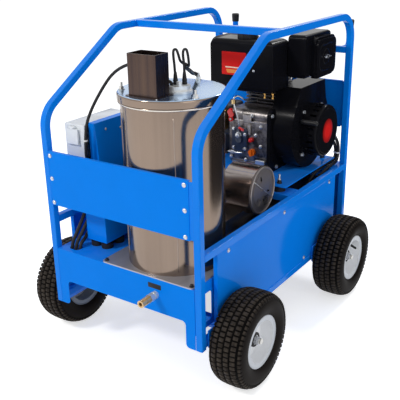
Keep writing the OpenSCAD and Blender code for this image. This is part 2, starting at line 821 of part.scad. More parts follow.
// Round cord along a route: rings of points, carried along without twist
module cord(p, d, n = 4, sides = 8) {
    q = smooth(p, n);
    m = len(q) - 1;
    t = [for (i = [0 : m]) heading(p, q, i)];
    w = normals(t, 0, abs(t[0].z) > 0.8 ? [1, 0, 0] : [0, 0, 1]);
    rings = [for (i = [0 : m], k = [0 : sides - 1]) q[i] + d / 2 * (cos(360 * k / sides) * w[i]
        + sin(360 * k / sides) * cross(t[i], w[i]))];
    polyhedron(rings, concat([[for (k = [0 : sides - 1]) k]],
        [for (i = [0 : m - 1], k = [0 : sides - 1]) [i * sides + k, (i + 1) * sides + k,
            (i + 1) * sides + (k + 1) % sides, i * sides + (k + 1) % sides]],
        [[for (k = [sides - 1 : -1 : 0]) m * sides + k]]));
}

// Routes of the cords, measured from the front posts along the machine
function from_front(p) = [for (q = p) [q.x, q.y + front_y, q.z]];
lead_fuel = from_front([[126, 142, 983.3], [126, 142, 990], [118, 138, 996], [100, 130, 1002], [60, 116, 1014],
    [20, 110, 1034], [-16, 106, 1038], [-76, 99, 1002], [-128, 81, 927], [-154, 58, 857], [-164, 50, 789],
    [-166, 50, 700], [-166, 56, 630], [-166, 64, 600], [-166, 77.7, 600]]);
lead_left = from_front([[130, 159, 1000], [127, 160, 1040], [124, 160, 1072], [124, 163, 1086],
    [130, 168, 1087], [134, 172, 1072], [137, 178, 1052], [140, 198, 1038]]);
lead_right = from_front([[152, 176, 1000], [151, 177, 1040], [148, 177, 1072], [149, 180, 1086],
    [155, 185, 1087], [158, 188, 1072], [158, 192, 1050], [150, 204, 1034]]);
lead_main = from_front([[144, 194, 1040], [134, 216, 1024], [116, 256, 1008], [99, 296, 992], [80, 340, 980],
    [68, 372, 960], [64, 392, 880], [64, 404, 760], [64, 450, 660], [66, 500, 630], [66, 504, 601.5]]);
module ignition_leads() {
    color("#181818") {
        for (q = boots) translate([q.x, q.y, boot_base]) cylinder(h = 22, r = 8);
        cord(lead_fuel, 10);
        cord(lead_left, 8);
        cord(lead_right, 8);
        cord(lead_main, 13);
    }
}

module blower_housing() {
    color("lightgray") difference() {
        union() {
            rod_x([drum_x, drum_y, drum_z], -drum_l, drum_r);
            rod_x([drum_x, drum_y, drum_z], -4, drum_r + 3);
            difference() {
                duct_block(0);
                translate([boiler_x, boiler_y, 0]) cylinder(h = 1000, r = boiler_r, $fn = 96);
            }
        }
        rod_x([drum_x + 1, drum_y, drum_z], sheet - drum_l - 1, drum_r - sheet);
        duct_block(-sheet);
        rod_x([drum_x - drum_l - 1, drum_y, drum_z], 10, 20);
    }
}

slot_r = 46;
module cover_slots() {
    for (a = [-60, 0, 60, 180]) rotate([0, 0, a - 90]) translate([slot_r, 0]) round_rect(22, 26, 6);
}

module blower_cover() {
    color("silver") translate([drum_x, drum_y, drum_z]) rotate([90, 0, 90]) {
        difference() {
            union() {
                linear_extrude(sheet) difference() {
                    circle(drum_r);
                    cover_slots();
                }
                cylinder(h = 6, r = 7);
            }
        }
    }
}

shutter_fit = 0.05;
module air_shutter() {
    color("lightgray") translate([drum_x + sheet + seat, drum_y, drum_z]) rotate([90, 0, 90])
        linear_extrude(1.5) difference() {
            union() {
                circle(64);
                rotate([0, 0, 20]) translate([0, 66]) round_rect(16, 22, 4);
            }
            rotate([0, 0, 24]) cover_slots();
            circle(7 + shutter_fit);
        }
}

fan_fit = 0.05;
fan_shaft = 7;
motor_r = 52;
module blower_fan() {
    x0 = drum_x - drum_l + 14;
    l = drum_l - 40;
    color("gray") {
        rod_x([x0, drum_y, drum_z], 4, fan_r);
        difference() {
            rod_x([x0 + l - 3, drum_y, drum_z], 3, fan_r);
            rod_x([x0 + l - 4, drum_y, drum_z], 5, fan_r - 14);
        }
        for (i = [0 : 23]) translate([0, drum_y, drum_z]) rotate([i * 15, 0, 0])
            translate([x0 + 2, -1, fan_r - 13]) cube([l - 3, 2, 12]);
        rod_x([x0 + 2, drum_y, drum_z], 26, 15);
        rod_x([drum_x - drum_l - 60, drum_y, drum_z], 62 + 14, fan_shaft);
    }
}

module blower_motor() {
    x0 = drum_x - drum_l;
    color("dimgray") difference() {
        union() {
            rod_x([x0, drum_y, drum_z], -90, motor_r);
            rod_x([x0, drum_y, drum_z], -6, motor_r + 14);
            rod_x([x0 - 90, drum_y, drum_z], -14, motor_r - 8);
        }
        rod_x([x0 + 1, drum_y, drum_z], -64, fan_shaft + fan_fit);
    }
}

module crankcase() {
    color("silver") difference() {
        union() {
            translate([case_back, case_face, engine_z]) round_block([case_l, case_d, case_h], 14, 24);
            rod_x([case_back, crank_y, crank_z], case_l, 60);
            for (y = [-150, 107]) translate([case_back + 15, crank_y + y, engine_z]) cube([case_l - 30, 43, 16]);
            translate([case_back + 20, case_panel, engine_z + 40]) round_block([case_l - 40, 20, 150], 12, 3);
            rod_front([oil_x, case_panel + 1, oil_z], 1 + 8, 9);
            rod_front([lever_x, case_face + 1, lever_z], 9, 9);
            rod_front([lever_x, case_face, lever_z], 18, 5);
        }
        rod_x([case_back - 1, crank_y, crank_z], case_l + 2, crank_dia / 2 + crank_fit);
    }
}

cyl_x = case_x - 97;
cyl_z = engine_z + case_h;
head_z = cyl_z + cyl_h;
tank_arm = crank_y - fin_d / 2 + 1;
module cylinder_body() {
    fins = 9;
    fin_pitch = (cyl_h - 18) / fins;
    translate([cyl_x - fin_w / 2, tank_arm, 0]) {
        translate([0, 0, cyl_z]) cube([fin_w, fin_d, 10]);
        for (i = [0 : fins - 1]) translate([0, 0, cyl_z + 18 + i * fin_pitch]) post_block([fin_w, fin_d, 4], 18);
        translate([0, 0, head_z]) post_block([fin_w, fin_d, 60], 10);
        translate([10, 10, head_z + 58]) round_block([fin_w - 20, fin_d - 20, 50], 14, 14);
    }
    translate([cyl_x, crank_y, cyl_z]) cylinder(h = cyl_h + 2, r = 52);
}

module cylinder_head() {
    lug_z = head_z + 106;
    color("gray") {
        cylinder_body();
        translate([cyl_x - 24, crank_y + 35, lug_z]) rotate([90, 0, 0]) linear_extrude(8) difference() {
            union() {
                translate([-15, -12]) square([30, 40]);
                translate([0, 28]) circle(15);
            }
            translate([0, 28]) circle(8);
        }
        rod_x([cyl_x + fin_w / 2 - 5, crank_y - 10, head_z + 46], cleaner_x - cleaner_d - cyl_x - fin_w / 2 + 5, 24);
        rod_x([cyl_x - fin_w / 2 + 5, crank_y + 30, head_z + 30], case_back - cyl_x + fin_w / 2 - 5, 20);
        for (x = [-50, 42]) translate([cyl_x + x, tank_y + tank_t, head_z - 36])
            cube([28, tank_arm + 4 - tank_y - tank_t, 46]);
    }
}

// Outline of the fan shroud, drawn in the plane of Y and Z, shrunk by a margin
neck_front = 110;
neck_rear = 101;
neck_h = 182;
shroud_dy = -16;
shroud_dz = 12;
module shroud_outline(m) {
    translate([shroud_dy, shroud_dz]) circle(scroll_r - m, $fn = 96);
    polygon([[shroud_dy - scroll_r * 0.84 + m, 90], [-neck_front + m, neck_h - m], [neck_rear - m, neck_h - m],
        [shroud_dy + scroll_r * 0.84 - m, 90], [0, 0]]);
}

module fan_shroud() {
    foot = crank_h + shroud_dz - scroll_r;
    color("#2a2c30") translate([0, crank_y, crank_z]) rotate([90, 0, 90]) {
        difference() {
            union() {
                translate([0, 0, case_x]) linear_extrude(shroud_t) shroud_outline(0);
                translate([-190, -crank_h, case_x]) linear_extrude(15)
                    translate([172, 125]) round_rect(344, 250, 26);
            }
            translate([0, 0, case_x - 1]) linear_extrude(shroud_t - 2) shroud_outline(3);
            translate([0, 0, case_x]) cylinder(h = shroud_t + 1, r = starter_r - 12);
        }
    }
}

// Flywheel with cooling vanes, on the crankshaft
module flywheel() {
    x0 = case_x + 14;
    color("dimgray") {
        rod_x([pump_x + 30, crank_y, crank_z], x0 + 4 - pump_x - 30, crank_dia / 2);
        rod_x([x0, crank_y, crank_z], 34, flywheel_r - 26);
        rod_x([x0, crank_y, crank_z], 8, flywheel_r);
        for (i = [0 : 19]) translate([0, crank_y, crank_z]) rotate([i * 18, 0, 0])
            translate([x0 + 2, -2.5, flywheel_r - 34]) cube([58, 5, 33]);
        rod_x([x0 + 32, crank_y, crank_z], 44, 48);
    }
}

module starter_housing() {
    wall = 2.5;
    ear_r = starter_r + 12;
    color("#26282c") translate([shroud_face, crank_y, crank_z]) rotate([90, 0, 90]) difference() {
        union() {
            rotate_extrude($fn = 96) difference() {
                union() {
                    square([starter_r - 10, starter_t]);
                    square([starter_r, starter_t - 10]);
                    translate([starter_r - 10, starter_t - 10]) circle(10);
                }
                translate([-1, -1]) square([starter_r - 9, starter_t + 1 - wall]);
                translate([-1, -1]) square([starter_r + 1 - wall, starter_t - 9]);
                translate([starter_r - 10, starter_t - 10]) circle(10 - wall);
            }
            for (a = [35, 125, 215, 305]) rotate([0, 0, a]) linear_extrude(5) difference() {
                union() {
                    translate([ear_r, 0]) circle(11);
                    translate([starter_r - 2, -11]) square([14, 22]);
                }
                circle(starter_r - 1);
            }
            rotate([0, 0, 154]) translate([starter_r - 2, 0, 20]) rotate([0, 90, 0]) cylinder(h = 10, r = 9);
        }
        for (i = [0 : 11]) rotate([0, 0, i * 30 + 15]) translate([0, 0, starter_t - 15]) linear_extrude(20)
            translate([56, 0]) round_rect(44, 9, 4.4);
        for (i = [0 : 23]) rotate([0, 0, i * 15]) translate([starter_r - 8, -5, 24]) cube([16, 10, 26]);
    }
}

module starter_grip() {
    a = 154;
    p = [shroud_face + 20, crank_y + (starter_r + 20) * cos(a), crank_z + (starter_r + 20) * sin(a)];
    color("#181818") translate(p) {
        rotate([0, 90, 0]) translate([0, 0, -10]) cylinder(h = 58, r = 9);
        for (x = [-10, 48]) translate([x, 0, 0]) sphere(9);
        rotate([a - 90, 0, 0]) translate([0, 0, -12 + seat]) cylinder(h = 12, r = 7);
    }
}

cap_y = tank_y + tank_t * 0.55;
neck_r = 24;
module engine_tank() {
    wall = 3;
    color("firebrick") difference() {
        union() {
            translate([tank_x, tank_y, tank_z]) round_block([tank_w, tank_t, tank_h], 26, 22);
            translate([tank_cap_x, cap_y, tank_z + tank_h - 4]) cylinder(h = 16, r = neck_r);
        }
        translate([tank_x + wall, tank_y + wall, tank_z + wall])
            round_block([tank_w - 2 * wall, tank_t - 2 * wall, tank_h - 2 * wall], 23, 19);
        translate([tank_cap_x, cap_y, tank_z + tank_h - 10]) cylinder(h = 30, r = neck_r - 3);
    }
}

cap_fit = 0.1;
module tank_cap() {
    z0 = tank_z + tank_h;
    color("#181818") translate([tank_cap_x, cap_y, z0]) difference() {
        union() {
            translate([0, 0, seat]) cylinder(h = 22, r = tank_cap_r);
            translate([0, 0, seat]) cylinder(h = 26, r = tank_cap_r - 7);
            for (i = [0 : 7]) rotate([0, 0, i * 45]) translate([tank_cap_r - 1, 0, seat]) cylinder(h = 20, r = 4);
        }
        cylinder(h = 12 + seat, r = neck_r + cap_fit);
    }
}

nut_y = crank_y - 3;
nut_z = crank_z + 291;
cleaner_d = 71;
module air_cleaner() {
    color("#202226") {
        translate([cleaner_x, cleaner_y, cleaner_z]) rotate([90, 0, 90]) linear_extrude(26 - 8)
            translate([cleaner_w / 2, cleaner_h / 2]) round_rect(cleaner_w, cleaner_h, 30);
        translate([cleaner_x + 18, cleaner_y + 8, cleaner_z + 8]) rotate([90, 0, 90]) linear_extrude(8)
            translate([cleaner_w / 2 - 8, cleaner_h / 2 - 8]) round_rect(cleaner_w - 16, cleaner_h - 16, 24);
        translate([cleaner_x - cleaner_d, cleaner_y - 42, cleaner_z + 7])
            round_block([cleaner_d + 1, cleaner_w + 34, cleaner_h + 8], 12, 18);
    }
    color("silver") rod_x([cleaner_x + 20, nut_y, nut_z], 18, 4);
}

module wing_nut() {
    fit = 0.05;
    color("lightgray") translate([cleaner_x + 26 + seat, nut_y, nut_z]) rotate([90, 0, 90]) difference() {
        union() {
            cylinder(h = 9, r = 8);
            for (s = [-1, 1]) translate([s * 14, 0, 6]) rotate([90, 0, 0]) linear_extrude(4, center = true)
                round_rect(18, 12, 4);
        }
        translate([0, 0, -1]) cylinder(h = 20, r = 4 + fit);
    }
}

case_face = crank_y - 144;
case_panel = case_face - 5;
oil_x = case_x - 86;
oil_z = engine_z + 62;
lever_x = case_back + 14;
lever_z = engine_z + 188;
lever_fit = 0.05;
module injection_pump() {
    y0 = case_panel - 12;
    color("#1c2a52") {
        translate([case_back + 22, y0, engine_z + 62]) round_block([68, 12, 98], 14, 2);
        for (x = [34, 78], z = [74, 148]) rod_front([case_back + x, y0 + 1, engine_z + z], 5, 5);
        rod_front([case_back + 56, y0 + 1, engine_z + 112], 10, 14);
    }
    color("red") rod_front([case_back + 56, y0 + 1, engine_z + 149], 12, 6);
}

module speed_lever() {
    y0 = case_face - 8;
    color("red") difference() {
        union() {
            rod_front([lever_x, y0 - seat, lever_z], 6, 10);
            translate([lever_x - 4, y0 - seat - 6, lever_z]) cube([8, 4, 34]);
            rod_front([lever_x, y0 - seat - 2, lever_z + 36], 6, 8);
        }
        rod_front([lever_x, y0 + 1, lever_z], 20, 5 + lever_fit);
    }
}

module oil_cap() {
    color("darkorange") difference() {
        union() {
            rod_front([oil_x, case_panel - seat, oil_z], 12, 14);
            translate([oil_x - 4, case_panel - seat - 20, oil_z - 13]) cube([8, 9, 26]);
        }
        rod_front([oil_x, case_panel + 1, oil_z], 1 + 8 + 1, 9 + cap_fit);
    }
}

muffler_z = crank_z + 200;
module muffler() {
    wall = 2;
    color("gray") difference() {
        union() {
            translate([case_back - 155, crank_y - 39, muffler_z]) round_block([155, 140, 143], 34, 20);
            translate([case_back - 120, crank_y + 60, muffler_z + 100]) rotate([-40, 0, 0]) cylinder(h = 70, r = 16);
        }
        translate([case_back - 155 + wall, crank_y - 39 + wall, muffler_z + wall])
            round_block([155 - 2 * wall, 140 - 2 * wall, 143 - 2 * wall], 32, 18);
        translate([case_back - 120, crank_y + 60, muffler_z + 90]) rotate([-40, 0, 0]) cylinder(h = 90, r = 14);
    }
}

module pump() {
    y0 = pump_y;
    color("#30343a") difference() {
        union() {
            translate([pump_x, y0, pump_z]) round_block([pump_l, pump_w, pump_h], 14, 12);
            rod_x([pump_x + pump_l - 2, crank_y, crank_z], bell_l + 2, 56);
            translate([pump_x + 30, crank_y - 40, engine_z]) cube([60, 80, pump_z - engine_z + 4]);
            translate([pump_x + 16, crank_y - 52, engine_z]) cube([88, 104, 8]);
        }
        rod_x([pump_x + 28, crank_y, crank_z], pump_l + bell_l, crank_dia / 2 + crank_fit);
        rod_x([pump_x + pump_l + 6, crank_y, crank_z], bell_l - 16, 46);
        translate([pump_x + pump_l + 14, crank_y - 30, crank_z]) cube([bell_l - 28, 60, 80]);
    }
    color("silver") translate([pump_x + 40, crank_y, pump_z + pump_h - 2]) cylinder(h = 12, r = 12);
}

valve_z = crank_z + 66;
module pump_head() {
    y0 = pump_y - head_d;
    z0 = crank_z - 40;
    color("goldenrod") difference() {
        union() {
            translate([pump_x + 4, y0, z0]) round_block([pump_l - 8, head_d, 88], 8, 6);
            for (k = [0 : 2]) {
                translate([pump_x + 26 + k * 33, y0 + 26, z0 + 86]) cylinder(h = 14, r = 13, $fn = 6);
                rod_front([pump_x + 26 + k * 33, y0 + 1, z0 + 22], 12, 12);
            }
            translate([pump_x + 38, y0 + 20, z0 + 86]) cube([30, 30, 34]);
            translate([pump_x + 53, y0 + 35, z0 + 118]) cylinder(h = 24, r = 12);
            translate([pump_x + 53, y0 + 35, z0 + 140]) cylinder(h = 18, r = 6);
            rod_x([pump_x + 6, y0 + 30, z0 + 22], -16, inlet_d / 2 + 7);
        }
        rod_x([pump_x - 11, y0 + 30, z0 + 22], 32, inlet_d / 2);
    }
}

module unloader_knob() {
    fit = 0.05;
    y0 = pump_y - head_d;
    z0 = crank_z - 40;
    color("#181818") translate([pump_x + 53, y0 + 35, z0 + 142 + seat]) difference() {
        union() {
            cylinder(h = 26, r = 18);
            for (i = [0 : 11]) rotate([0, 0, i * 30]) translate([17.5, 0, 0]) cylinder(h = 24, r = 2.5, $fn = 16);
        }
        translate([0, 0, -1]) cylinder(h = 17.5, r = 6 + fit);
    }
}

module cabinet_profile(m) {
    c = ledge_h;
    upper = box_x + box_w - cabinet_x;
    polygon([[m, m], [cabinet_w - m, m], [cabinet_w - m, c + 30], [cabinet_w - 16 - m, cabinet_h - m],
        [upper + m, cabinet_h - m], [upper + m, c - m], [m, c - m]]);
}

module control_cabinet() {
    wall = 1.5;
    color("mediumblue") difference() {
        translate([cabinet_x, cabinet_y + cabinet_l, cabinet_z]) rotate([90, 0, 0])
            linear_extrude(cabinet_l) cabinet_profile(0);
        translate([cabinet_x, cabinet_y + cabinet_l - wall, cabinet_z]) rotate([90, 0, 0])
            linear_extrude(cabinet_l - 2 * wall) cabinet_profile(wall);
        translate([cabinet_x + 12, cabinet_y + 108, cabinet_z - 1]) cube([66, 76, 4]);
    }
}

flap_x = box_x + 12;
flap_w = 52;
flap_h = 52;
flap_t = 7;
flap_z = box_z + 150;
flap_back = box_y - 3;
flap_fit = 0.05;
hinge_r = 4;
hinge_x = flap_x + flap_w / 2;
hinge_y = flap_back - flap_t / 2;
hinge_z = flap_z + flap_h + 5;
module switch_box() {
    wall = 3;
    lug = 6;
    color("gainsboro") difference() {
        translate([box_x, box_y, box_z]) round_block([box_w, box_l, box_h], 5, 5);
        translate([box_x + wall, box_y + wall, box_z + wall])
            cube([box_w, box_l - 2 * wall, box_h - 2 * wall]);
    }
    color("silver") {
        rod_front([hinge_x, box_y + 1, flap_z + flap_h / 2 - 2], 1 + box_y - flap_back - seat, 20);
        for (s = [-1, 1]) {
            x0 = hinge_x + s * (lug + seat + lug / 2) - lug / 2;
            rod_x([x0, hinge_y, hinge_z], lug, hinge_r);
            translate([x0, hinge_y, hinge_z - hinge_r]) cube([lug, box_y - hinge_y + 1, 2 * hinge_r]);
        }
        rod_x([hinge_x - lug - 2, hinge_y, hinge_z], 2 * lug + 4, 1.5);
    }
}

module socket_flap() {
    lug = 6;
    color("whitesmoke") difference() {
        union() {
            translate([flap_x, flap_back - flap_t, flap_z]) cube([flap_w, flap_t, flap_h]);
            rod_x([hinge_x - lug, hinge_y, hinge_z], 2 * lug, hinge_r);
            translate([hinge_x - lug, hinge_y - hinge_r, flap_z + flap_h - 1]) cube([2 * lug, hinge_r, hinge_z - flap_z - flap_h + 1]);
        }
        rod_x([hinge_x - lug - 1, hinge_y, hinge_z], 2 * lug + 2, 1.5 + flap_fit);
    }
}

tank_top = duct_z - 3;
module fuel_tank() {
    wall = 4;
    w = 2 * (inner_x - 15);
    y0 = front_y + fuel_tank_d;
    l = rear_y - 46 - y0;
    h = tank_top - floor_top;
    fill = [-w / 2 + 70, y0 + 60];
    color("#1a1a1c") difference() {
        union() {
            translate([-w / 2, y0, floor_top]) round_block([w, l, h], 24, 24);
            translate([fill.x, fill.y, floor_top + h - 4]) cylinder(h = 40, r = 34);
        }
        translate([-w / 2 + wall, y0 + wall, floor_top + wall])
            round_block([w - 2 * wall, l - 2 * wall, h - 2 * wall], 20, 20);
        translate([fill.x, fill.y, floor_top + h - 20]) cylinder(h = 80, r = 30);
    }
}

// Routes of the harness, measured from the front posts; each wire has its own line
harness = [
    from_front([[-262, 415.7, 262], [-262, 380, 262], [-264, 200, 268], [-262, 90, 290], [-256, 34, 345],
        [-254, 36, 400], [-243, 58, 450], [-234, 84, 500], [-236, 116, 560], [-240, 124, 600], [-240, 124, 617]]),
    from_front([[-240, 415.7, 262], [-240, 380, 262], [-242, 200, 268], [-244, 90, 290], [-240, 36, 345],
        [-238, 40, 400], [-230, 64, 440], [-228, 100, 486], [-234, 138, 550], [-240, 148, 600], [-240, 148, 617]]),
    from_front([[-218, 415.7, 262], [-218, 380, 262], [-220, 200, 268], [-224, 90, 290], [-224, 40, 345],
        [-224, 44, 396], [-228, 80, 420], [-230, 124, 462], [-236, 164, 540], [-240, 172, 600], [-240, 172, 617]])];
feed_hose = from_front([[-177, 783.7, 662], [-177, 765, 662], [-178, 700, 640], [-150, 600, 580], [-90, 500, 520],
    [-20, 420, 482], [28, 372, 470], [28, 342.4, 470]]);
outlet_hose = from_front([[141, 32.3, 330], [141, 60, 330], [141, 110, 332], [128, 156, 342], [103, 176, 366],
    [101, 178, 376], [101, 178, 386.6]]);
rear_hoses = [
    from_front([[237.3, 1028, 655], [250, 1028, 655], [272, 1042, 634], [285, 1062, 594], [287, 1070, 560],
        [287, 1066, 532], [287, 1052, 514], [287, 1020, 511.5], [286, 960, 506], [276, 912, 484], [268, 896, 460],
        [268, 896, 444.3]]),
    from_front([[237.3, 1014, 630], [248, 1014, 630], [264, 1038, 614], [271, 1062, 588], [272, 1075, 558],
        [272, 1077, 534], [270, 1064, 516], [268, 1034, 511.5], [262, 960, 510], [252, 900, 486], [248, 880, 460],
        [248, 880, 444.3]])];
module hoses() {
    color("#161616") {
        for (r = harness) cord(r, 12, 3);
        for (r = rear_hoses) cord(r, 13, 3);
        cord(feed_hose, 20, 3);
        cord(outlet_hose, 20, 3);
    }
}

module outlet_fitting() {
    color("silver") {
        difference() {
            union() {
                rod_front([outlet_x, front_y + 32, outlet_z], 32 + nipple_l, 10);
                rod_front([outlet_x, front_y, outlet_z], 12, 13);
                rod_front([outlet_x, front_y - nipple_l + 22, outlet_z], 22, 14, $fn = 6);
                rod_front([outlet_x, front_y + sheet + 6, outlet_z], 6, 16);
            }
            rod_front([outlet_x, front_y - nipple_l + 12, outlet_z], 13, outlet_d / 2);
        }
        difference() {
            rod_front([outlet_x, front_y - nipple_l, outlet_z], coupler_l, 12.5);
            rod_front([outlet_x, front_y - nipple_l + 1, outlet_z], coupler_l + 2, outlet_d / 2);
        }
    }
}

hoop_left();
hoop_right();
cross_tubes();
base_rails();
front_deck();
rear_apron();
end_panel();
rear_panel();
side_panel_left();
side_panel_right();
panel_screws();
rubber_mounts();
engine_deck();
hook_caps();
axles();
axle_nuts();
tyre_fl();
tyre_fr();
tyre_rl();
tyre_rr();
rim_fl();
rim_fr();
rim_rl();
rim_rr();
boiler_base();
boiler_shell();
heating_coil();
boiler_lid();
boiler_nuts();
flue();
burner_head();
ignition_leads();
blower_housing();
blower_cover();
air_shutter();
blower_fan();
blower_motor();
crankcase();
cylinder_head();
fan_shroud();
flywheel();
starter_housing();
starter_grip();
engine_tank();
tank_cap();
air_cleaner();
wing_nut();
injection_pump();
speed_lever();
oil_cap();
muffler();
pump();
pump_head();
unloader_knob();
control_cabinet();
switch_box();
socket_flap();
fuel_tank();
hoses();
outlet_fitting();
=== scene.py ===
"""Hot water pressure washer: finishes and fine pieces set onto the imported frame."""

import json
import math
from functools import cache

import bmesh
import bpy
import numpy as np
from bpy.props import FloatProperty, FloatVectorProperty, IntProperty, PointerProperty
from mathutils import Matrix, Vector

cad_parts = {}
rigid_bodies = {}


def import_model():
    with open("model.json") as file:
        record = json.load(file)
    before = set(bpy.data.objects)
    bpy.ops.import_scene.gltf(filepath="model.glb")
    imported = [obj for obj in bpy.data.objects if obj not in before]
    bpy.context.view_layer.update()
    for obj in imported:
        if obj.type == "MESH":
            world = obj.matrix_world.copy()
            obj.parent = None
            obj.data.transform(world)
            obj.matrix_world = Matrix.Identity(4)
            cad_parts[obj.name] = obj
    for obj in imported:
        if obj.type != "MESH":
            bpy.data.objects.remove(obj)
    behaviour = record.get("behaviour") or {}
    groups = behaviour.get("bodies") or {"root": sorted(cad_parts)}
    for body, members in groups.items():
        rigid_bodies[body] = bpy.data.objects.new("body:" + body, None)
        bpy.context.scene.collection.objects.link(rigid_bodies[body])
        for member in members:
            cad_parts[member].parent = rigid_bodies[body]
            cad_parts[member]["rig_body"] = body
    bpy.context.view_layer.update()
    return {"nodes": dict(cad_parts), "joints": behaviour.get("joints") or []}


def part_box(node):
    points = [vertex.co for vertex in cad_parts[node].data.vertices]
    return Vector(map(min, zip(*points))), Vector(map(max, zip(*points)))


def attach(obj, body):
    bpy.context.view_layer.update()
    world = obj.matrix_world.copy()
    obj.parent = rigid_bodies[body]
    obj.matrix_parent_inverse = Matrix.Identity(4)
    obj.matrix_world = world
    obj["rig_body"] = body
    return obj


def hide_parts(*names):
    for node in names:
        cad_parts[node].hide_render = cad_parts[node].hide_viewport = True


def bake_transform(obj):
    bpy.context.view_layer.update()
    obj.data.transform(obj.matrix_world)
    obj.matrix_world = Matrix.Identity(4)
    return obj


bl_info = {
    "name": "Pressure washer",
    "version": (1, 0, 0),
    "blender": (4, 5, 0),
    "location": "View3D > Sidebar > Washer",
    "description": "Finishes and fine pieces of a hot water pressure washer",
    "category": "Object",
}

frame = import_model()
NODES = frame["nodes"]
MM = 0.001

# Places that several pieces share, in metres, as the part's source has them
FRONT_Y = -0.54825
TYRE_X = 0.391
AXLE_Y = {"f": -0.38025, "r": 0.36575}
AXLE_Z = 0.165
BOILER = (0.101, -0.37025)
BLOWER = (0.243, -0.04425, 0.549)
CRANK = (0.36675, 0.68)

# Faces that small pieces stand on, in millimetres: across for the flange and the shroud, along for the rest
FLANGE_FACE, SHROUD_FACE = 152, 237
CASE_FACE, PUMP_FACE = 217.75, 205.75

WHEELS = [(end, side, sign) for end in "fr" for side, sign in (("l", -1), ("r", 1))]


def tone(red, green, blue):
    """Linear colour of a tone given as screen bytes: the sRGB curve undone for each channel."""
    out = []
    for byte in (red, green, blue):
        c = byte / 255.0
        out.append(c / 12.92 if c <= 0.04045 else ((c + 0.055) / 1.055) ** 2.4)
    return (*out, 1.0)


def colour_prop(name, description, red, green, blue):
    return FloatVectorProperty(name=name, description=description, subtype="COLOR", size=4,
                               min=0.0, max=1.0, default=tone(red, green, blue))


def length_prop(name, description, millimetres, low=0.0, high=500.0):
    return FloatProperty(name=name, description=description, unit="LENGTH", subtype="DISTANCE",
                         precision=4, min=low * MM, max=high * MM, default=millimetres * MM)


def share_prop(name, description, share):
    return FloatProperty(name=name, description=description, subtype="FACTOR", min=0.0, max=1.0,
                         default=share)


def power_prop(name, description, watts):
    return FloatProperty(name=name, description=description, unit="POWER", min=0.0, max=2000.0,
                         default=watts)


class PaintLook(bpy.types.PropertyGroup):
    blue: colour_prop("Frame paint", "Colour of the powder coat on tubes and sheets", 6, 130, 240)
    black: colour_prop("Engine black", "Colour of the black enamel on the engine covers", 17, 17, 21)
    red: colour_prop("Red parts", "Colour of the red caps, badge and tank panel", 226, 22, 18)
    orange: colour_prop("Dipstick cap", "Colour of the oil filler cap", 236, 108, 22)
    edge: length_prop("Edge rounding", "Radius of the rounded sheet edges", 0.8, 0.2, 4.0)
    dust: share_prop("Dust", "Share of dust on surfaces that face up", 0.25)


class WheelLook(bpy.types.PropertyGroup):
    pitches: IntProperty(name="Blocks around", description="Tread blocks around the tyre",
                         min=30, max=80, default=60)
    rows: IntProperty(name="Block rows", description="Rows of blocks over the crown",
                      min=4, max=9, default=4)
    row: length_prop("Row width", "Distance from one row of blocks to the next", 23.0, 10.0, 26.0)
    depth: length_prop("Tread depth", "Height of the tread blocks", 5.7, 1.0, 7.0)
    rubber: colour_prop("Tyre", "Colour of the tyre rubber", 27, 23, 21)
    rim: colour_prop("Rim", "Colour of the outside of the rims", 250, 250, 251)
    inside: colour_prop("Rim inside", "Colour of the primer inside the rims", 140, 146, 152)


class BoilerLook(bpy.types.PropertyGroup):
    # The sheet's brownish tone is partly the stainless steel's own colour and partly a painted reflection of
    # brown ground
    steel: colour_prop("Sheet steel", "Colour of the brushed stainless sheet", 134, 118, 106)
    flue: colour_prop("Flue steel", "Colour of the heat stained flue", 72, 60, 58)
    brushing: share_prop("Brushing", "Depth of the brushed lines", 0.25)


class LineLook(bpy.types.PropertyGroup):
    sides: IntProperty(name="Sides", description="Sides of a hose or lead", min=12, max=32, default=18)
    rubber: colour_prop("Hose rubber", "Colour of hoses and leads", 22, 22, 24)


class StageLook(bpy.types.PropertyGroup):
    lens: FloatProperty(name="Lens", description="Focal length on a 36 mm wide sensor",
                        unit="CAMERA", min=20.0, max=120.0, default=62.13)
    key: power_prop("Key lamp", "Power of the main lamp", 150.0)
    fill: power_prop("Fill lamp", "Power of the lamp on the right", 36.0)
    back: power_prop("Back lamp", "Power of the lamp behind, which edges the tops", 60.0)
    sky: FloatProperty(name="Room light", description="Strength of the even light of the room",
                       min=0.0, max=3.0, default=0.54)
    floor: colour_prop("Floor", "Colour of the plain floor", 245, 245, 245)


LOOKS = {"washer_paint": PaintLook, "washer_wheels": WheelLook, "washer_boiler": BoilerLook,
         "washer_lines": LineLook, "washer_stage": StageLook}


def looks(name):
    return getattr(bpy.context.scene, "washer_" + name)


# ---------------------------------------------------------------- shader nodes

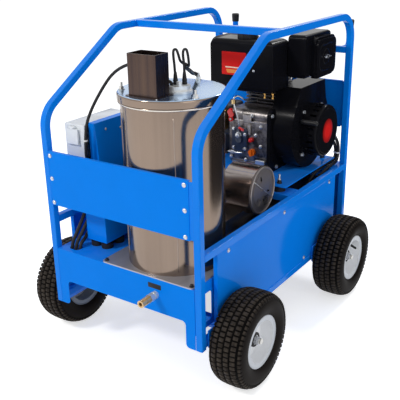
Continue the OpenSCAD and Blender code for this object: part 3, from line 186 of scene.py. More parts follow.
class Net:
    """Adds nodes to one node tree. A value given for an input is set, and a socket is linked."""

    def __init__(self, tree):
        self.tree = tree

    def add(self, kind, inputs=None, **settings):
        node = self.tree.nodes.new(kind)
        for key, value in settings.items():
            setattr(node, key, value)
        for key, value in (inputs or {}).items():
            self.feed(node.inputs[key], value)
        return node

    def feed(self, socket, value):
        if isinstance(value, bpy.types.NodeSocket):
            self.tree.links.new(value, socket)
        else:
            socket.default_value = value

    def math(self, operation, a, b=0.0, c=0.0, clamp=False):
        node = self.add("ShaderNodeMath", {0: a, 1: b, 2: c}, operation=operation, use_clamp=clamp)
        return node.outputs[0]

    def times(self, a, b):
        return self.math("MULTIPLY", a, b)

    def vector_math(self, operation, a, b):
        return self.add("ShaderNodeVectorMath", {0: a, 1: b}, operation=operation).outputs[0]

    def parts(self, vector):
        return self.add("ShaderNodeSeparateXYZ", {0: vector}).outputs

    def ramp(self, value, low, high, out_low=0.0, out_high=1.0):
        node = self.add("ShaderNodeMapRange", {"Value": value, "From Min": low, "From Max": high,
                                               "To Min": out_low, "To Max": out_high}, clamp=True)
        return node.outputs[0]

    def mix(self, share, a, b):
        return self.add("ShaderNodeMix", {"Factor": share, 6: a, 7: b}, data_type="RGBA").outputs[2]

    def noise(self, vector, scale, detail=3.0, rough=0.5):
        node = self.add("ShaderNodeTexNoise", {"Vector": vector, "Scale": scale, "Detail": detail,
                                               "Roughness": rough})
        return node.outputs["Fac"]


def blank_net(owner):
    """Emptied node net of a material or world."""
    owner.use_nodes = True
    owner.node_tree.nodes.clear()
    return Net(owner.node_tree)


SOCKETS = {"V": "NodeSocketVector", "C": "NodeSocketColor", "F": "NodeSocketFloat"}


def new_group(name, inputs, outputs):
    """Empty shader group with named sockets, each given as a letter and a name."""
    tree = bpy.data.node_groups.new(name, "ShaderNodeTree")
    for way, words in (("INPUT", inputs), ("OUTPUT", outputs)):
        for word in words.split(", "):
            tree.interface.new_socket(word[2:], in_out=way, socket_type=SOCKETS[word[0]])
    net = Net(tree)
    return net, net.add("NodeGroupInput").outputs, net.add("NodeGroupOutput").inputs


def build_groups():
    """The effects that several finishes share."""
    net, i, o = new_group("tone_drift", "V Vector, C Colour, F Scale, F Amount", "C Colour")
    cloud = net.noise(i["Vector"], i["Scale"], 4.0, 0.6)
    value = net.math("MULTIPLY_ADD", net.math("SUBTRACT", cloud, 0.5), i["Amount"], 1.0)
    hsv = net.add("ShaderNodeHueSaturation", {"Value": value, "Color": i["Colour"]})
    net.feed(o["Colour"], hsv.outputs[0])

    net, i, o = new_group("fine_grain", "V Vector, F Scale", "F Height, F Cloud")
    net.feed(o["Height"], net.noise(i["Vector"], i["Scale"], 2.0))
    net.feed(o["Cloud"], net.noise(i["Vector"], net.times(i["Scale"], 0.07), 3.0, 0.6))

    net, i, o = new_group("settled_dust", "V Vector, C Colour, C Dust, F Amount, F Roughness",
                          "C Colour, F Roughness")
    up = net.parts(net.add("ShaderNodeNewGeometry").outputs["Normal"])["Z"]
    patchy = net.ramp(net.noise(i["Vector"], 14.0, 5.0, 0.65), 0.35, 0.75)
    mask = net.times(net.times(net.ramp(up, 0.1, 0.9), patchy), i["Amount"])
    net.feed(o["Colour"], net.mix(mask, i["Colour"], i["Dust"]))
    net.feed(o["Roughness"], net.math("ADD", i["Roughness"], net.times(mask, 0.5), clamp=True))

    net, i, o = new_group("rubbed_edges", "V Vector, C Colour, C Bare, F Amount", "C Colour")
    point = net.add("ShaderNodeNewGeometry").outputs["Pointiness"]
    ragged = net.noise(i["Vector"], 90.0, 4.0, 0.7)
    edge = net.ramp(net.math("ADD", point, net.times(ragged, 0.05)), 0.545, 0.62)
    net.feed(o["Colour"], net.mix(net.times(edge, i["Amount"]), i["Colour"], i["Bare"]))

    net, i, o = new_group("drawn_lines", "V Vector, V Stretch", "F Lines, F Broad")
    fine = net.vector_math("MULTIPLY", i["Vector"], i["Stretch"])
    net.feed(o["Lines"], net.noise(fine, 1.0, 3.0, 0.6))
    net.feed(o["Broad"], net.noise(net.vector_math("MULTIPLY", fine, (0.12, 0.12, 0.12)), 1.0, 2.0))

    # Round an upright axis, or one that runs across: arc and radius take the place of two straight ways
    for name, first, second, arc, along in (("round_upright", "X", "Y", "X", "Z"),
                                            ("round_across", "Y", "Z", "Z", "X")):
        net, i, o = new_group(name, "V Vector, V Centre", "V Vector, F Radius")
        part = net.parts(net.vector_math("SUBTRACT", i["Vector"], i["Centre"]))
        squares = [net.times(part[way], part[way]) for way in (first, second)]
        far = net.math("SQRT", net.math("ADD", *squares))
        turn = net.math("ARCTAN2", part[second], part[first])
        joined = net.add("ShaderNodeCombineXYZ", {arc: net.times(turn, far), "Y": far, along: part[along]})
        net.feed(o["Vector"], joined.outputs[0])
        net.feed(o["Radius"], far)


DUST = (0.42, 0.38, 0.33, 1.0)


class Finish:
    """One material: a Principled shader fed by the shared effects, in the order they are called."""

    def __init__(self, name, colour, rough, metal=0.0, specular=0.5):
        self.material = bpy.data.materials.new(name)
        self.material.diffuse_color = colour
        self.net = blank_net(self.material)
        self.shader = self.net.add("ShaderNodeBsdfPrincipled", {"Metallic": metal,
                                                                "Specular IOR Level": specular})
        self.net.add("ShaderNodeOutputMaterial", {0: self.shader.outputs[0]})
        self.vector = self.net.add("ShaderNodeTexCoord").outputs["Object"]
        self.colour = colour
        self.rough = rough

    def use(self, group, vector=None, **inputs):
        node = self.net.add("ShaderNodeGroup", node_tree=bpy.data.node_groups[group])
        for key, value in {"Vector": vector or self.vector, **inputs}.items():
            self.net.feed(node.inputs[key], value)
        return node.outputs

    def parts(self):
        return self.net.parts(self.vector)

    def drift(self, scale, amount):
        self.colour = self.use("tone_drift", Colour=self.colour, Scale=scale, Amount=amount)["Colour"]
        return self

    def dust(self, amount):
        out = self.use("settled_dust", Colour=self.colour, Dust=DUST, Amount=amount, Roughness=self.rough)
        self.colour, self.rough = out["Colour"], out["Roughness"]
        return self

    def wear(self, amount, bare):
        self.colour = self.use("rubbed_edges", Colour=self.colour, Bare=bare, Amount=amount)["Colour"]
        return self

    def grain(self, scale, depth, smear):
        out = self.use("fine_grain", Scale=scale)
        self.bump(out["Height"], depth)
        return self.smear(out["Cloud"], smear)

    def lines(self, stretch, depth, smear, vector=None):
        """Drawn lines; the broad bands among them are handed back."""
        out = self.use("drawn_lines", vector, Stretch=stretch)
        self.bump(out["Lines"], depth)
        self.smear(out["Lines"], smear)
        return out["Broad"]

    def smear(self, cloud, amount):
        """Roughness that follows a cloud, up and down from its middle."""
        change = self.net.times(self.net.math("SUBTRACT", cloud, 0.5), amount)
        self.rough = self.net.math("ADD", self.rough, change, clamp=True)
        return self

    def bump(self, height, depth):
        node = self.net.add("ShaderNodeBump", {"Height": height, "Strength": 0.5, "Distance": depth * MM})
        last = self.shader.inputs["Normal"].links
        if last:
            self.net.feed(node.inputs["Normal"], last[0].from_socket)
        self.net.feed(self.shader.inputs["Normal"], node.outputs[0])

    def split(self, mask, other):
        """Takes another colour where the mask is 1."""
        self.colour = self.net.mix(mask, self.colour, other)
        return self

    def done(self):
        self.net.feed(self.shader.inputs["Base Color"], self.colour)
        self.net.feed(self.shader.inputs["Roughness"], self.rough)
        return self.material


@cache
def blue_powder_coat(name="blue_powder_coat", shine=0.03):
    p = looks("paint")
    f = Finish(name, p.blue, 0.12, specular=shine)
    return f.drift(9.0, 0.10).dust(p.dust * 0.3).grain(420.0, 0.008, 0.08).done()


@cache
def black_enamel(name="black_enamel", rough=0.16):
    f = Finish(name, looks("paint").black, rough, specular=0.05)
    return f.drift(20.0, 0.25).dust(0.02).grain(420.0, 0.01, 0.1).done()


@cache
def black_plastic():
    f = Finish("black_plastic", tone(24, 24, 27), 0.5, specular=0.3)
    return f.drift(30.0, 0.3).dust(0.1).grain(900.0, 0.12, 0.2).done()


@cache
def cast_aluminium():
    f = Finish("cast_aluminium", tone(128, 122, 122), 0.34, metal=0.85)
    oily = f.net.ramp(f.net.noise(f.vector, 24.0, 6.0, 0.7), 0.42, 0.6, 0.0, 0.9)
    f.drift(60.0, 0.8).split(oily, tone(38, 34, 36)).wear(0.8, tone(214, 208, 204))
    return f.grain(260.0, 0.8, 0.3).done()


@cache
def cast_iron():
    f = Finish("cast_iron", tone(58, 58, 62), 0.6, metal=0.4)
    return f.drift(30.0, 0.4).grain(350.0, 0.4, 0.2).done()


@cache
def brass():
    f = Finish("brass", tone(196, 152, 84), 0.3, metal=0.95)
    return f.drift(90.0, 0.4).grain(600.0, 0.08, 0.25).done()


@cache
def bright_nut():
    """Fresh zinc of screws, nuts and pipes."""
    f = Finish("bright_nut", tone(204, 206, 210), 0.24, metal=0.7)
    return f.drift(90.0, 0.25).grain(700.0, 0.05, 0.2).done()


def colour_plastic(name, colour, rough=0.35):
    f = Finish(name, colour, rough, specular=0.12)
    return f.drift(40.0, 0.2).grain(600.0, 0.08, 0.15).done()


def zinc_plate():
    f = Finish("zinc_plate", tone(205, 203, 198), 0.3, metal=0.9)
    return f.drift(120.0, 0.35).grain(900.0, 0.06, 0.25).done()


def mould_rubber(name="mould_rubber", colour=(0.012, 0.012, 0.013, 1.0)):
    f = Finish(name, colour, 0.55, specular=0.3)
    return f.drift(40.0, 0.4).dust(0.12).grain(600.0, 0.2, 0.15).done()


def grey_box_plastic():
    f = Finish("grey_box_plastic", tone(232, 236, 240), 0.42, specular=0.3)
    return f.drift(10.0, 0.08).dust(0.3).grain(900.0, 0.06, 0.1).done()


def barrel_casting():
    f = Finish("barrel_casting", tone(78, 74, 76), 0.5, metal=0.6)
    return f.drift(50.0, 0.6).grain(300.0, 0.5, 0.2).done()


def burner_casting():
    f = Finish("burner_casting", tone(226, 226, 224), 0.34, metal=0.35)
    return f.drift(40.0, 0.25).grain(400.0, 0.12, 0.2).done()


def pump_enamel():
    """Dark blue enamel of the fuel pump."""
    f = Finish("pump_enamel", tone(30, 42, 66), 0.3, specular=0.4)
    return f.drift(40.0, 0.4).wear(0.5, tone(120, 124, 130)).grain(420.0, 0.12, 0.2).done()


def sheet_steel(name, colour, rough, stretch, centre=None, across=False, metal=0.95):
    """Brushed sheet: the lines run around the axis through the centre, or straight."""
    f = Finish(name, colour, rough, metal=metal)
    vector = None
    if centre:
        vector = f.use("round_across" if across else "round_upright", Centre=centre)["Vector"]
    f.drift(5.0, 0.16)
    broad = f.lines(stretch, 0.12 * looks("boiler").brushing, 0.12, vector)
    # Darker broad bands among the lines: partly a brushed tone, partly painted reflection streaks
    f.split(f.net.ramp(broad, 0.3, 0.7, 0.0, 0.12), tone(96, 84, 76))
    return f.dust(0.05).done()


def panel_stripes(red):
    """Red panel with two plain bars low down; each bar is a band of height, cut off at one side."""
    f = Finish("panel_red", red, 0.3, specular=0.15)
    part = f.parts()
    soft, slant, cut = 0.0004, 0.4, (0.3585, 0.3590)
    side = f.net.ramp(f.net.math("ADD", part["X"], f.net.times(part["Z"], slant)), *cut)
    for low, high, colour in ((0.921, 0.935, tone(246, 150, 74)), (0.940, 0.945, tone(250, 224, 200))):
        band = f.net.times(f.net.ramp(part["Z"], low, low + soft), f.net.ramp(part["Z"], high, high - soft))
        f.split(f.net.times(band, side), colour)
    return f.drift(30.0, 0.12).grain(700.0, 0.03, 0.1).done()


def badge_red(red):
    """Red that darkens towards the rim of the oval."""
    f = Finish("badge_red", red, 0.3, specular=0.15)
    far = f.use("round_across", Centre=(0.0, *CRANK))["Radius"]
    pure, rim = 0.022, 0.046
    f.split(f.net.ramp(far, pure, rim, 0.0, 0.75), tone(84, 8, 8))
    return f.drift(40.0, 0.1).grain(700.0, 0.03, 0.1).done()


def lid_steel():
    """Polished top sheet with a painted reflection of a pale blue sky; the rim below it is the shell's steel,
    and the bead carries a painted highlight.
    """
    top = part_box("boiler_lid")[1][2]
    f = Finish("lid_steel", looks("boiler").steel, 0.14, metal=0.95)
    f.lines((300.0, 9.0, 300.0), 0.03, 0.1)
    level = f.parts()["Z"]
    sheet_low, sheet_high, bead_high, bead_low = (top - drop for drop in (0.0024, 0.0010, 0.0275, 0.0295))
    # Painted reflection: the top sheet takes a pale blue, as if it mirrored the sky
    f.split(f.net.ramp(level, sheet_low, sheet_high), tone(172, 200, 230))
    # Painted highlight: the bead below the rim takes a bright tone
    f.split(f.net.ramp(level, bead_high, bead_low), tone(214, 208, 200))
    return f.drift(5.0, 0.14).done()


def flue_steel():
    """Heat stained sheet, with a painted highlight where it is bent: where both sides lie within the corner's
    radius.
    """
    low, high = (np.array(c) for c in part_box("flue"))
    middle, half = (low + high) / 2, (high - low) / 2
    f = Finish("flue_steel", looks("boiler").flue, 0.26, metal=0.95)
    broad = f.lines((500.0, 500.0, 9.0), 0.03, 0.1)
    f.split(f.net.ramp(broad, 0.35, 0.7, 0.0, 0.5), tone(104, 84, 70))
    part = f.parts()
    corner = 0.0052
    near = []
    for k in range(2):
        off = f.net.math("ABSOLUTE", f.net.math("SUBTRACT", part[k], float(middle[k])))
        near.append(f.net.math("SUBTRACT", off, float(half[k]) - corner))
    # Painted highlight along the bent corners
    corner_highlight = f.net.ramp(f.net.math("MINIMUM", *near), 0.0, 0.0022, 0.0, 0.9)
    return f.split(corner_highlight, tone(206, 198, 190)).drift(9.0, 0.3).done()


def stud_finish(level):
    """Zinc above the given height; blackened steel below it."""
    f = Finish("stud_finish", tone(28, 28, 30), 0.32)
    upper = f.net.ramp(f.parts()["Z"], level, level + 0.001)
    f.split(upper, tone(205, 203, 198))
    f.net.feed(f.shader.inputs["Metallic"], f.net.times(upper, 0.9))
    return f.drift(120.0, 0.3).grain(900.0, 0.06, 0.2).done()


def outlet_finish():
    """Zinc collar at the panel, and a brass coupler in front of it."""
    f = Finish("outlet_finish", tone(222, 222, 220), 0.3, metal=0.5)
    collar_end, coupler_start = FRONT_Y - 0.0335, FRONT_Y - 0.0345
    f.split(f.net.ramp(f.parts()["Y"], collar_end, coupler_start), tone(206, 160, 86))
    return f.drift(150.0, 0.35).wear(0.3, tone(236, 230, 212)).grain(700.0, 0.06, 0.25).done()


def tyre_rubber():
    """Painted shade darkens the grooves below the blocks, whose tops are scuffed in patches."""
    f = Finish("tyre_rubber", looks("wheels").rubber, 0.55, specular=0.05)
    block = f.net.add("ShaderNodeAttribute", attribute_name="block").outputs["Fac"]
    # Painted shade: the grooves darken below the block tops
    f.split(f.net.ramp(block, 0.45, 0.05, 0.0, 0.97), tone(5, 4, 4))
    patchy = f.net.ramp(f.net.noise(f.vector, 60.0, 5.0, 0.7), 0.3, 0.7)
    scuff = f.net.times(f.net.ramp(block, 0.7, 1.0), patchy)
    f.split(f.net.times(scuff, 0.7), tone(84, 76, 68))
    return f.drift(25.0, 0.4).grain(300.0, 0.25, 0.15).done()


def rim_paint():
    """White outside, with painted shade making the flange a little greyer; the primer shows on the faces
    towards the machine.
    """
    w = looks("wheels")
    f = Finish("rim_paint", w.rim, 0.3, specular=0.2)
    part = f.parts()["X"]
    near = [f.use("round_across", Centre=(0.0, y, AXLE_Z))["Radius"] for y in AXLE_Y.values()]
    dish, flange = 0.0735, 0.0745
    # Painted shade: the flange beyond the dish is a little greyer
    f.split(f.net.ramp(f.net.math("MINIMUM", *near), dish, flange), tone(206, 209, 214))
    f.split(f.net.ramp(f.net.math("ABSOLUTE", part), TYRE_X - 0.004, TYRE_X - 0.006), w.inside)
    return f.drift(14.0, 0.03).dust(0.06).grain(500.0, 0.05, 0.15).done()


def axle_finish():
    """Painted plates; the rods outside them are plated."""
    f = Finish("axle_finish", looks("paint").blue, 0.35)
    plate_face, rod_start = 0.3255, 0.3265
    outer = f.net.ramp(f.net.math("ABSOLUTE", f.parts()["X"]), plate_face, rod_start)
    f.split(outer, tone(200, 198, 192))
    f.net.feed(f.shader.inputs["Metallic"], outer)
    return f.drift(40.0, 0.2).grain(700.0, 0.06, 0.2).done()


# ---------------------------------------------------------------- mesh helpers

def body_of(node):
    return NODES[node]["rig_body"]


def packed(name):
    """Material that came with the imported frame."""
    return bpy.data.materials[name]


def paint(material, *names):
    for name in names:
        data = NODES[name].data
        data.materials.clear()
        data.materials.append(material)


def placed(name, data):
    """A new object in the scene that shows the given data."""
    thing = bpy.data.objects.new(name, data)
    bpy.context.scene.collection.objects.link(thing)
    return thing


def mesh_piece(name, points, faces, body, material, **marks):
    """Closed smooth piece on a body, with its doubles merged and its faces turned outwards. A mark is a value
    for each point, kept as an attribute of its name."""
    data = bpy.data.meshes.new(name)
    data.from_pydata(points.tolist(), [], faces)
    data.materials.append(material)
    for key, values in marks.items():
        data.attributes.new(key, "FLOAT", "POINT").data.foreach_set("value", values)
    mesh = bmesh.new()
    mesh.from_mesh(data)
    bmesh.ops.remove_doubles(mesh, verts=mesh.verts, dist=1e-6)
    bmesh.ops.recalc_face_normals(mesh, faces=mesh.faces)
    mesh.to_mesh(data)
    mesh.free()
    data.shade_smooth()
    piece = placed(name, data)
    if body:
        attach(piece, body)
    return piece


def ring_faces(rings, count, closed=False, starts=(0,)):
    """Quads between rings of as many points each, ring by ring; where closed, the last ring joins the first.
    The starts are the first point of each copy of the form."""
    r, c = np.meshgrid(np.arange(rings if closed else rings - 1), np.arange(count), indexing="ij")
    r2, c2 = (r + 1) % rings, (c + 1) % count
    quads = np.stack([r * count + c, r * count + c2, r2 * count + c2, r2 * count + c], axis=-1).reshape(-1, 4)
    return (np.array(starts)[:, None, None] + quads).reshape(-1, 4).tolist()


def capped_faces(rings, count, starts=(0,)):
    """Quads between rings, and one face over the first and the last ring of each copy."""
    first, ring = np.array(starts)[:, None], np.arange(count)
    caps = np.concatenate([first + ring[::-1], first + (rings - 1) * count + ring])
    return ring_faces(rings, count, starts=starts) + caps.tolist()


def softened(node, width):
    """A merged copy of a CAD node with its sharp edges rounded; it stands for the node."""
    source = NODES[node]
    mesh = bmesh.new()
    mesh.from_mesh(source.data)
    bmesh.ops.remove_doubles(mesh, verts=mesh.verts, dist=2e-6)
    bmesh.ops.dissolve_limit(mesh, angle_limit=math.radians(1.0), verts=mesh.verts, edges=mesh.edges)
    data = bpy.data.meshes.new(node + "_soft")
    mesh.to_mesh(data)
    mesh.free()
    data.materials.append(source.data.materials[0])
    data.shade_smooth()
    piece = placed(node + "_soft", data)
    bevel = piece.modifiers.new("edges", "BEVEL")
    bevel.width = width
    bevel.segments = 2
    bevel.limit_method = "ANGLE"
    bevel.angle_limit = math.radians(35.0)
    piece.modifiers.new("flats", "WEIGHTED_NORMAL").keep_sharp = False
    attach(piece, body_of(node))
    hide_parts(node)


def smooth_route(points, steps=6):
    """Points on a cubic through the given points: each span is a Catmull-Rom blend of its four neighbours."""
    p = np.array(points, float)
    padded = np.vstack([p[:1], p, p[-1:]])
    t = np.linspace(0, 1, steps, endpoint=False)[None, :, None]
    a, b, c, d = (padded[k:len(p) - 1 + k, None, :] for k in range(4))
    square, cube = 2 * a - 5 * b + 4 * c - d, 3 * b - a - 3 * c + d
    span = 0.5 * (2 * b + (c - a) * t + square * t ** 2 + cube * t ** 3)
    return np.vstack([span.reshape(-1, 3), p[-1:]])


def carried_normals(route):
    """Two normals at each point of a route, carried along so that they don't twist."""
    tangent = np.gradient(route, axis=0)
    tangent[0], tangent[-1] = route[1] - route[0], route[-1] - route[-2]
    tangent /= np.linalg.norm(tangent, axis=1)[:, None]
    carried = np.array([1.0, 0, 0]) if abs(tangent[0][2]) > 0.8 else np.array([0, 0, 1.0])
    normal = np.empty_like(route)
    for k, t in enumerate(tangent):
        carried = carried - np.dot(carried, t) * t
        carried /= np.linalg.norm(carried)
        normal[k] = carried
    return normal, np.cross(tangent, normal)


def tube(name, route, radius, sides, body, material):
    """Round tube, closed at both ends: at each point of the route stands a ring of the radius there."""
    n, b = carried_normals(route)
    turn = np.linspace(0, 2 * np.pi, sides, endpoint=False)[None, :, None]
    radius = np.broadcast_to(np.asarray(radius, float), (len(route),))[:, None, None]
    rings = route[:, None, :] + radius * (np.cos(turn) * n[:, None, :] + np.sin(turn) * b[:, None, :])
    return mesh_piece(name, rings.reshape(-1, 3), capped_faces(len(route), sides), body, material)


def line_piece(name, route_mm, diameter_mm, material, node):
    """A hose or lead on the frame, along its route in millimetres from the front posts. It stands for the
    node."""
    route = smooth_route(np.array(route_mm, float) * MM + (0, FRONT_Y, 0))
    piece = tube(name, route, diameter_mm * MM / 2, looks("lines").sides, "frame", material)
    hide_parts(node)


def pipe(name, route_mm, diameter_mm, body, material):
    """A thin pipe along its route in millimetres; it is an addition and stands for no node."""
    tube(name, smooth_route(np.array(route_mm, float) * MM), diameter_mm * MM / 2, 14, body, material)


def turned(name, profile, centre, axis, body, material, segments=64, closed=False):
    """Surface of revolution: each profile point (along, radius) is carried round an axis through a centre."""
    along, radius = np.array(profile, float).T[:, :, None, None]
    u, v, w = np.eye(3) if axis == "x" else np.eye(3)[[2, 0, 1]]
    turn = np.linspace(0, 2 * np.pi, segments, endpoint=False)[None, :, None]
    points = np.array(centre) + along * u + radius * (np.cos(turn) * v + np.sin(turn) * w)
    faces = ring_faces(len(profile), segments, closed)
    return mesh_piece(name, points.reshape(-1, 3), faces, body, material)


def rounded(width, height, radius):
    """Outline of a rounded rectangle: the quarter circle of each corner, moved to that corner's centre."""
    turn = np.radians(np.arange(4)[:, None] * 90 + np.linspace(0, 90, 6)[None, :])
    corner = np.array([[1, 1], [-1, 1], [-1, -1], [1, -1]])[:, None, :]
    reach = np.array([width / 2 - radius, height / 2 - radius])
    return (corner * reach + radius * np.stack([np.cos(turn), np.sin(turn)], axis=-1)).reshape(-1, 2)


def oval(across, up, count=64):
    """Outline of an ellipse, from its half sizes."""
    turn = np.arange(count) * 2 * np.pi / count
    return np.stack([across * np.cos(turn), up * np.sin(turn)], axis=-1)


def circle(radius):
    return oval(radius, radius, 24)


def hexagon(flat):
    """Outline of a hexagon: half the flat over the cosine of the turn from the middle of the nearest flat."""
    turn = np.arange(24) * 2 * np.pi / 24
    off = (turn + np.pi / 6) % (np.pi / 3) - np.pi / 6
    return (flat / 2 / np.cos(off))[:, None] * np.stack([np.cos(turn), np.sin(turn)], axis=-1)


def slab(width, height, radius, low, high, top, inset, top_radius):
    """Outlines of a rounded plate, upright from low to high, and drawn in by the inset at its top."""
    side = rounded(width, height, radius)
    return [(low, side), (high, side), (top, rounded(width - inset, height - inset, top_radius))]


def rounds(*steps):
    """Circles as outlines, each given as its height and its radius."""
    return [(height, circle(radius)) for height, radius in steps]


def nut(low, high, flat, hole):
    """Outlines of a hexagon from low to high, with a rounding to the hole one millimetre above."""
    return [(low, hexagon(flat)), (high, hexagon(flat)), (high + 1, circle(hole))]


FACING = {"front": ((0, -1, 0), (1, 0, 0), (0, 0, 1)), "right": ((1, 0, 0), (0, 1, 0), (0, 0, 1)),
          "left": ((-1, 0, 0), (0, -1, 0), (0, 0, 1)), "up": ((0, 0, 1), (1, 0, 0), (0, 1, 0)),
          "down": ((0, 0, -1), (-1, 0, 0), (0, 1, 0))}


def stacked(name, places, facing, rings, body, material, tilt=0.0, loop=False):
    """Closed forms in millimetres, one at each place: outlines at growing heights along the way the form
    faces, each joined to the next. A loop joins the last outline to the first, and makes a frame."""
    along, across, up = (np.array(v, float) for v in FACING[facing])
    c, s = math.cos(tilt), math.sin(tilt)
    flat = np.array([outline for _, outline in rings], float)
    flat = np.stack([flat[..., 0] * c - flat[..., 1] * s, flat[..., 0] * s + flat[..., 1] * c], axis=-1)
    height = np.array([h for h, _ in rings], float)
    form = height[:, None, None] * along + flat[..., :1] * across + flat[..., 1:] * up
    places = np.atleast_2d(np.array(places, float))
    rows, columns = flat.shape[:2]
    points = (places[:, None, None, :] + form[None]).reshape(-1, 3) * MM
    starts = np.arange(len(places)) * rows * columns
    faces = ring_faces(rows, columns, True, starts) if loop else capped_faces(rows, columns, starts)
    piece = mesh_piece(name, points, faces, body, material)
    piece.data.set_sharp_from_angle(angle=math.radians(32))


def bolts(name, places, facing, flat, height, body):
    """Hexagon heads on washers, with a chamfered top."""
    washer = circle(flat * 0.68)
    rings = [(-0.5, washer), (1.1, washer), (1.4, circle(flat * 0.64)), (1.4, hexagon(flat)),
             (height - 0.8, hexagon(flat)), (height, circle(flat * 0.42))]
    stacked(name, places, facing, rings, body, bright_nut())


# ---------------------------------------------------------------- wheels

# A block's foot stands this share of its pitch or row in from the edge, and its wall takes the next share
GROOVE, WALL = 0.11, 0.05
# The shoulder line lies this share of a row beyond the last block
SHOULDER_GAP = 0.08
# The lug on the shoulder: its foot and end beyond the shoulder line, and the run of its walls, in metres
LUG_START, LUG_END, LUG_WALL = 0.0008, 0.0145, 0.001
# The lug's height is gone at the first length beyond the shoulder line, and falls over the second
FADE_END, FADE_RUN = 0.024, 0.018
# Beyond the shoulder line, in metres: where the block mask ends and where the plain sidewall starts
TREAD_END, WALL_TOP = 0.0155, 0.0165
# Block mask of the bare sidewall, between a groove and a block
BARE_MARK = 0.55
# How far the heights of the blocks differ, in metres
BLOCK_WEAR = 0.25 * MM
# Bead that closes the tyre inside the rim, as (across, radius) in metres
BEAD = [(0.046, 0.078), (0.0, 0.0772), (-0.046, 0.078)]


def tyre_profile():
    """Outer half profile of the tyre as (across, radius) in metres, from the crown to the rim."""
    mm = [(0, 159.2), (14, 159.0), (28, 158.2), (40, 156.0), (49, 152.0), (55.5, 146.2), (60.0, 138.3),
          (62.3, 129), (62.6, 119), (60.5, 108), (56.5, 99), (51.5, 92.8), (48.5, 90.0), (47.3, 84)]
    return smooth_route([(x * MM, r * MM, 0) for x, r in mm], 12)[:, :2]


def tread_samples(count):
    """Places around the tyre, in pitches, where a block of either row kind starts, stands or ends."""
    marks = [0.0, 0.5]
    for shift in (0.0, 0.5):
        marks += [(k + shift) % 1.0 for k in (GROOVE, GROOVE + WALL, 1 - GROOVE - WALL, 1 - GROOVE)]
    marks = np.array(sorted(set(np.round(marks, 4))))
    return (np.arange(count)[:, None] + marks[None, :]).ravel()


def step_mask(place):
    """1 on a block, 0 in the groove, for a place given in pitches; the walls slope over their share."""
    f = place % 1.0
    return np.clip((np.minimum(f, 1 - f) - GROOVE) / WALL, 0, 1)


def profile_places(w, shoulder, end):
    """Distances from the crown along half the profile: at each edge of the rows of blocks and of the
    shoulder's lug, and evenly down the sidewall."""
    odd = w.rows % 2 / 2
    edges = [0.0]
    for k in range(int(w.rows / 2) + 1):
        edges += [(k - odd + g) * w.row for g in (GROOVE, GROOVE + WALL, 0.5, 1 - GROOVE - WALL, 1 - GROOVE)]
    edges += [shoulder + k for k in (LUG_START, 0.0016, 0.006, 0.010, 0.0135, LUG_END)]
    wall_top = shoulder + WALL_TOP
    side = wall_top + np.linspace(0, 1, 26) * (end - wall_top)
    arc = np.unique(np.round([*edges, *side], 6))
    return arc[(arc >= 0) & (arc <= end + 1e-9)]


def tyre_mesh():
    """Points, faces and block mask of a tyre about its middle. The profile is carried round the axle, and
    each point is lifted along the profile's normal by the tread depth times the block mask of its row and
    pitch."""
    w = looks("wheels")
    half = tyre_profile()
    run = np.concatenate([[0], np.cumsum(np.linalg.norm(np.diff(half, axis=0), axis=1))])
    shoulder = (w.rows / 2 + SHOULDER_GAP) * w.row
    arc = profile_places(w, shoulder, run[-1])
    skin_line = np.column_stack([np.interp(arc, run, half[:, 0]), np.interp(arc, run, half[:, 1])])
    slope = np.gradient(skin_line, axis=0)
    slope /= np.linalg.norm(slope, axis=1)[:, None]
    normal = np.column_stack([-slope[:, 1], slope[:, 0]])
    normal *= np.where(normal.sum(axis=1, keepdims=True) > 0, 1.0, -1.0)
    flip = (-1.0, 1.0)
    skin_line = np.vstack([skin_line[::-1] * flip, skin_line[1:]])
    normal = np.vstack([normal[::-1] * flip, normal[1:]])
    arc = np.concatenate([-arc[::-1], arc[1:]])

    place = arc / w.row + w.rows % 2 / 2
    index = np.floor(place)
    off = np.abs(arc)
    crown = off < w.rows / 2 * w.row - 1e-6
    lug = np.clip(np.minimum(off - shoulder - LUG_START, shoulder + LUG_END - off) / LUG_WALL, 0, 1)
    fall = np.clip((shoulder + FADE_END - off) / FADE_RUN, 0, 1)
    lane = np.maximum(np.where(crown, step_mask(place), 0.0), lug * fall)[:, None]
    shift = np.where(crown, index % 2, math.ceil(w.rows / 2) % 2) * 0.5
    pitch = tread_samples(w.pitches)
    block = step_mask(pitch[None, :] + shift[:, None])
    worn = BLOCK_WEAR * np.sin(pitch * 2.1)[None, :] * np.sin(index * 1.7)[:, None]
    lift = (w.depth + worn) * lane * block
    turn = pitch / w.pitches * 2 * np.pi
    lifted_x = skin_line[:, :1] + lift * normal[:, :1]
    lifted_r = skin_line[:, 1:] + lift * normal[:, 1:]
    bead_x, bead_r = np.array(BEAD).T[:, :, None]
    across = np.vstack([lifted_x, np.broadcast_to(bead_x, (len(BEAD), len(turn)))])
    radius = np.vstack([lifted_r, np.broadcast_to(bead_r, (len(BEAD), len(turn)))])
    points = np.stack([across, radius * np.cos(turn), radius * np.sin(turn)], axis=-1)
    treaded = (off < shoulder + TREAD_END)[:, None]
    bead_mask = np.full((len(BEAD), len(turn)), BARE_MARK)
    mask = np.vstack([np.where(treaded, lane * block, BARE_MARK), bead_mask])
    return points.reshape(-1, 3), ring_faces(*across.shape, True), mask.ravel()


class WASHER_OT_tyres(bpy.types.Operator):
    """Turf tyres with staggered tread blocks, one for each wheel"""

    bl_idname = "washer.tyres"
    bl_label = "Tyres"

    def execute(self, context):
        points, faces, mask = tyre_mesh()
        material = tyre_rubber()
        for end, side, sign in WHEELS:
            name = "tyre_" + end + side
            moved = points + np.array([sign * TYRE_X, AXLE_Y[end], AXLE_Z])
            piece = mesh_piece(name + "_tread", moved, faces, "wheel_" + end + side, material, block=mask)
            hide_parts(name)
            paint(material, name)
        return {"FINISHED"}


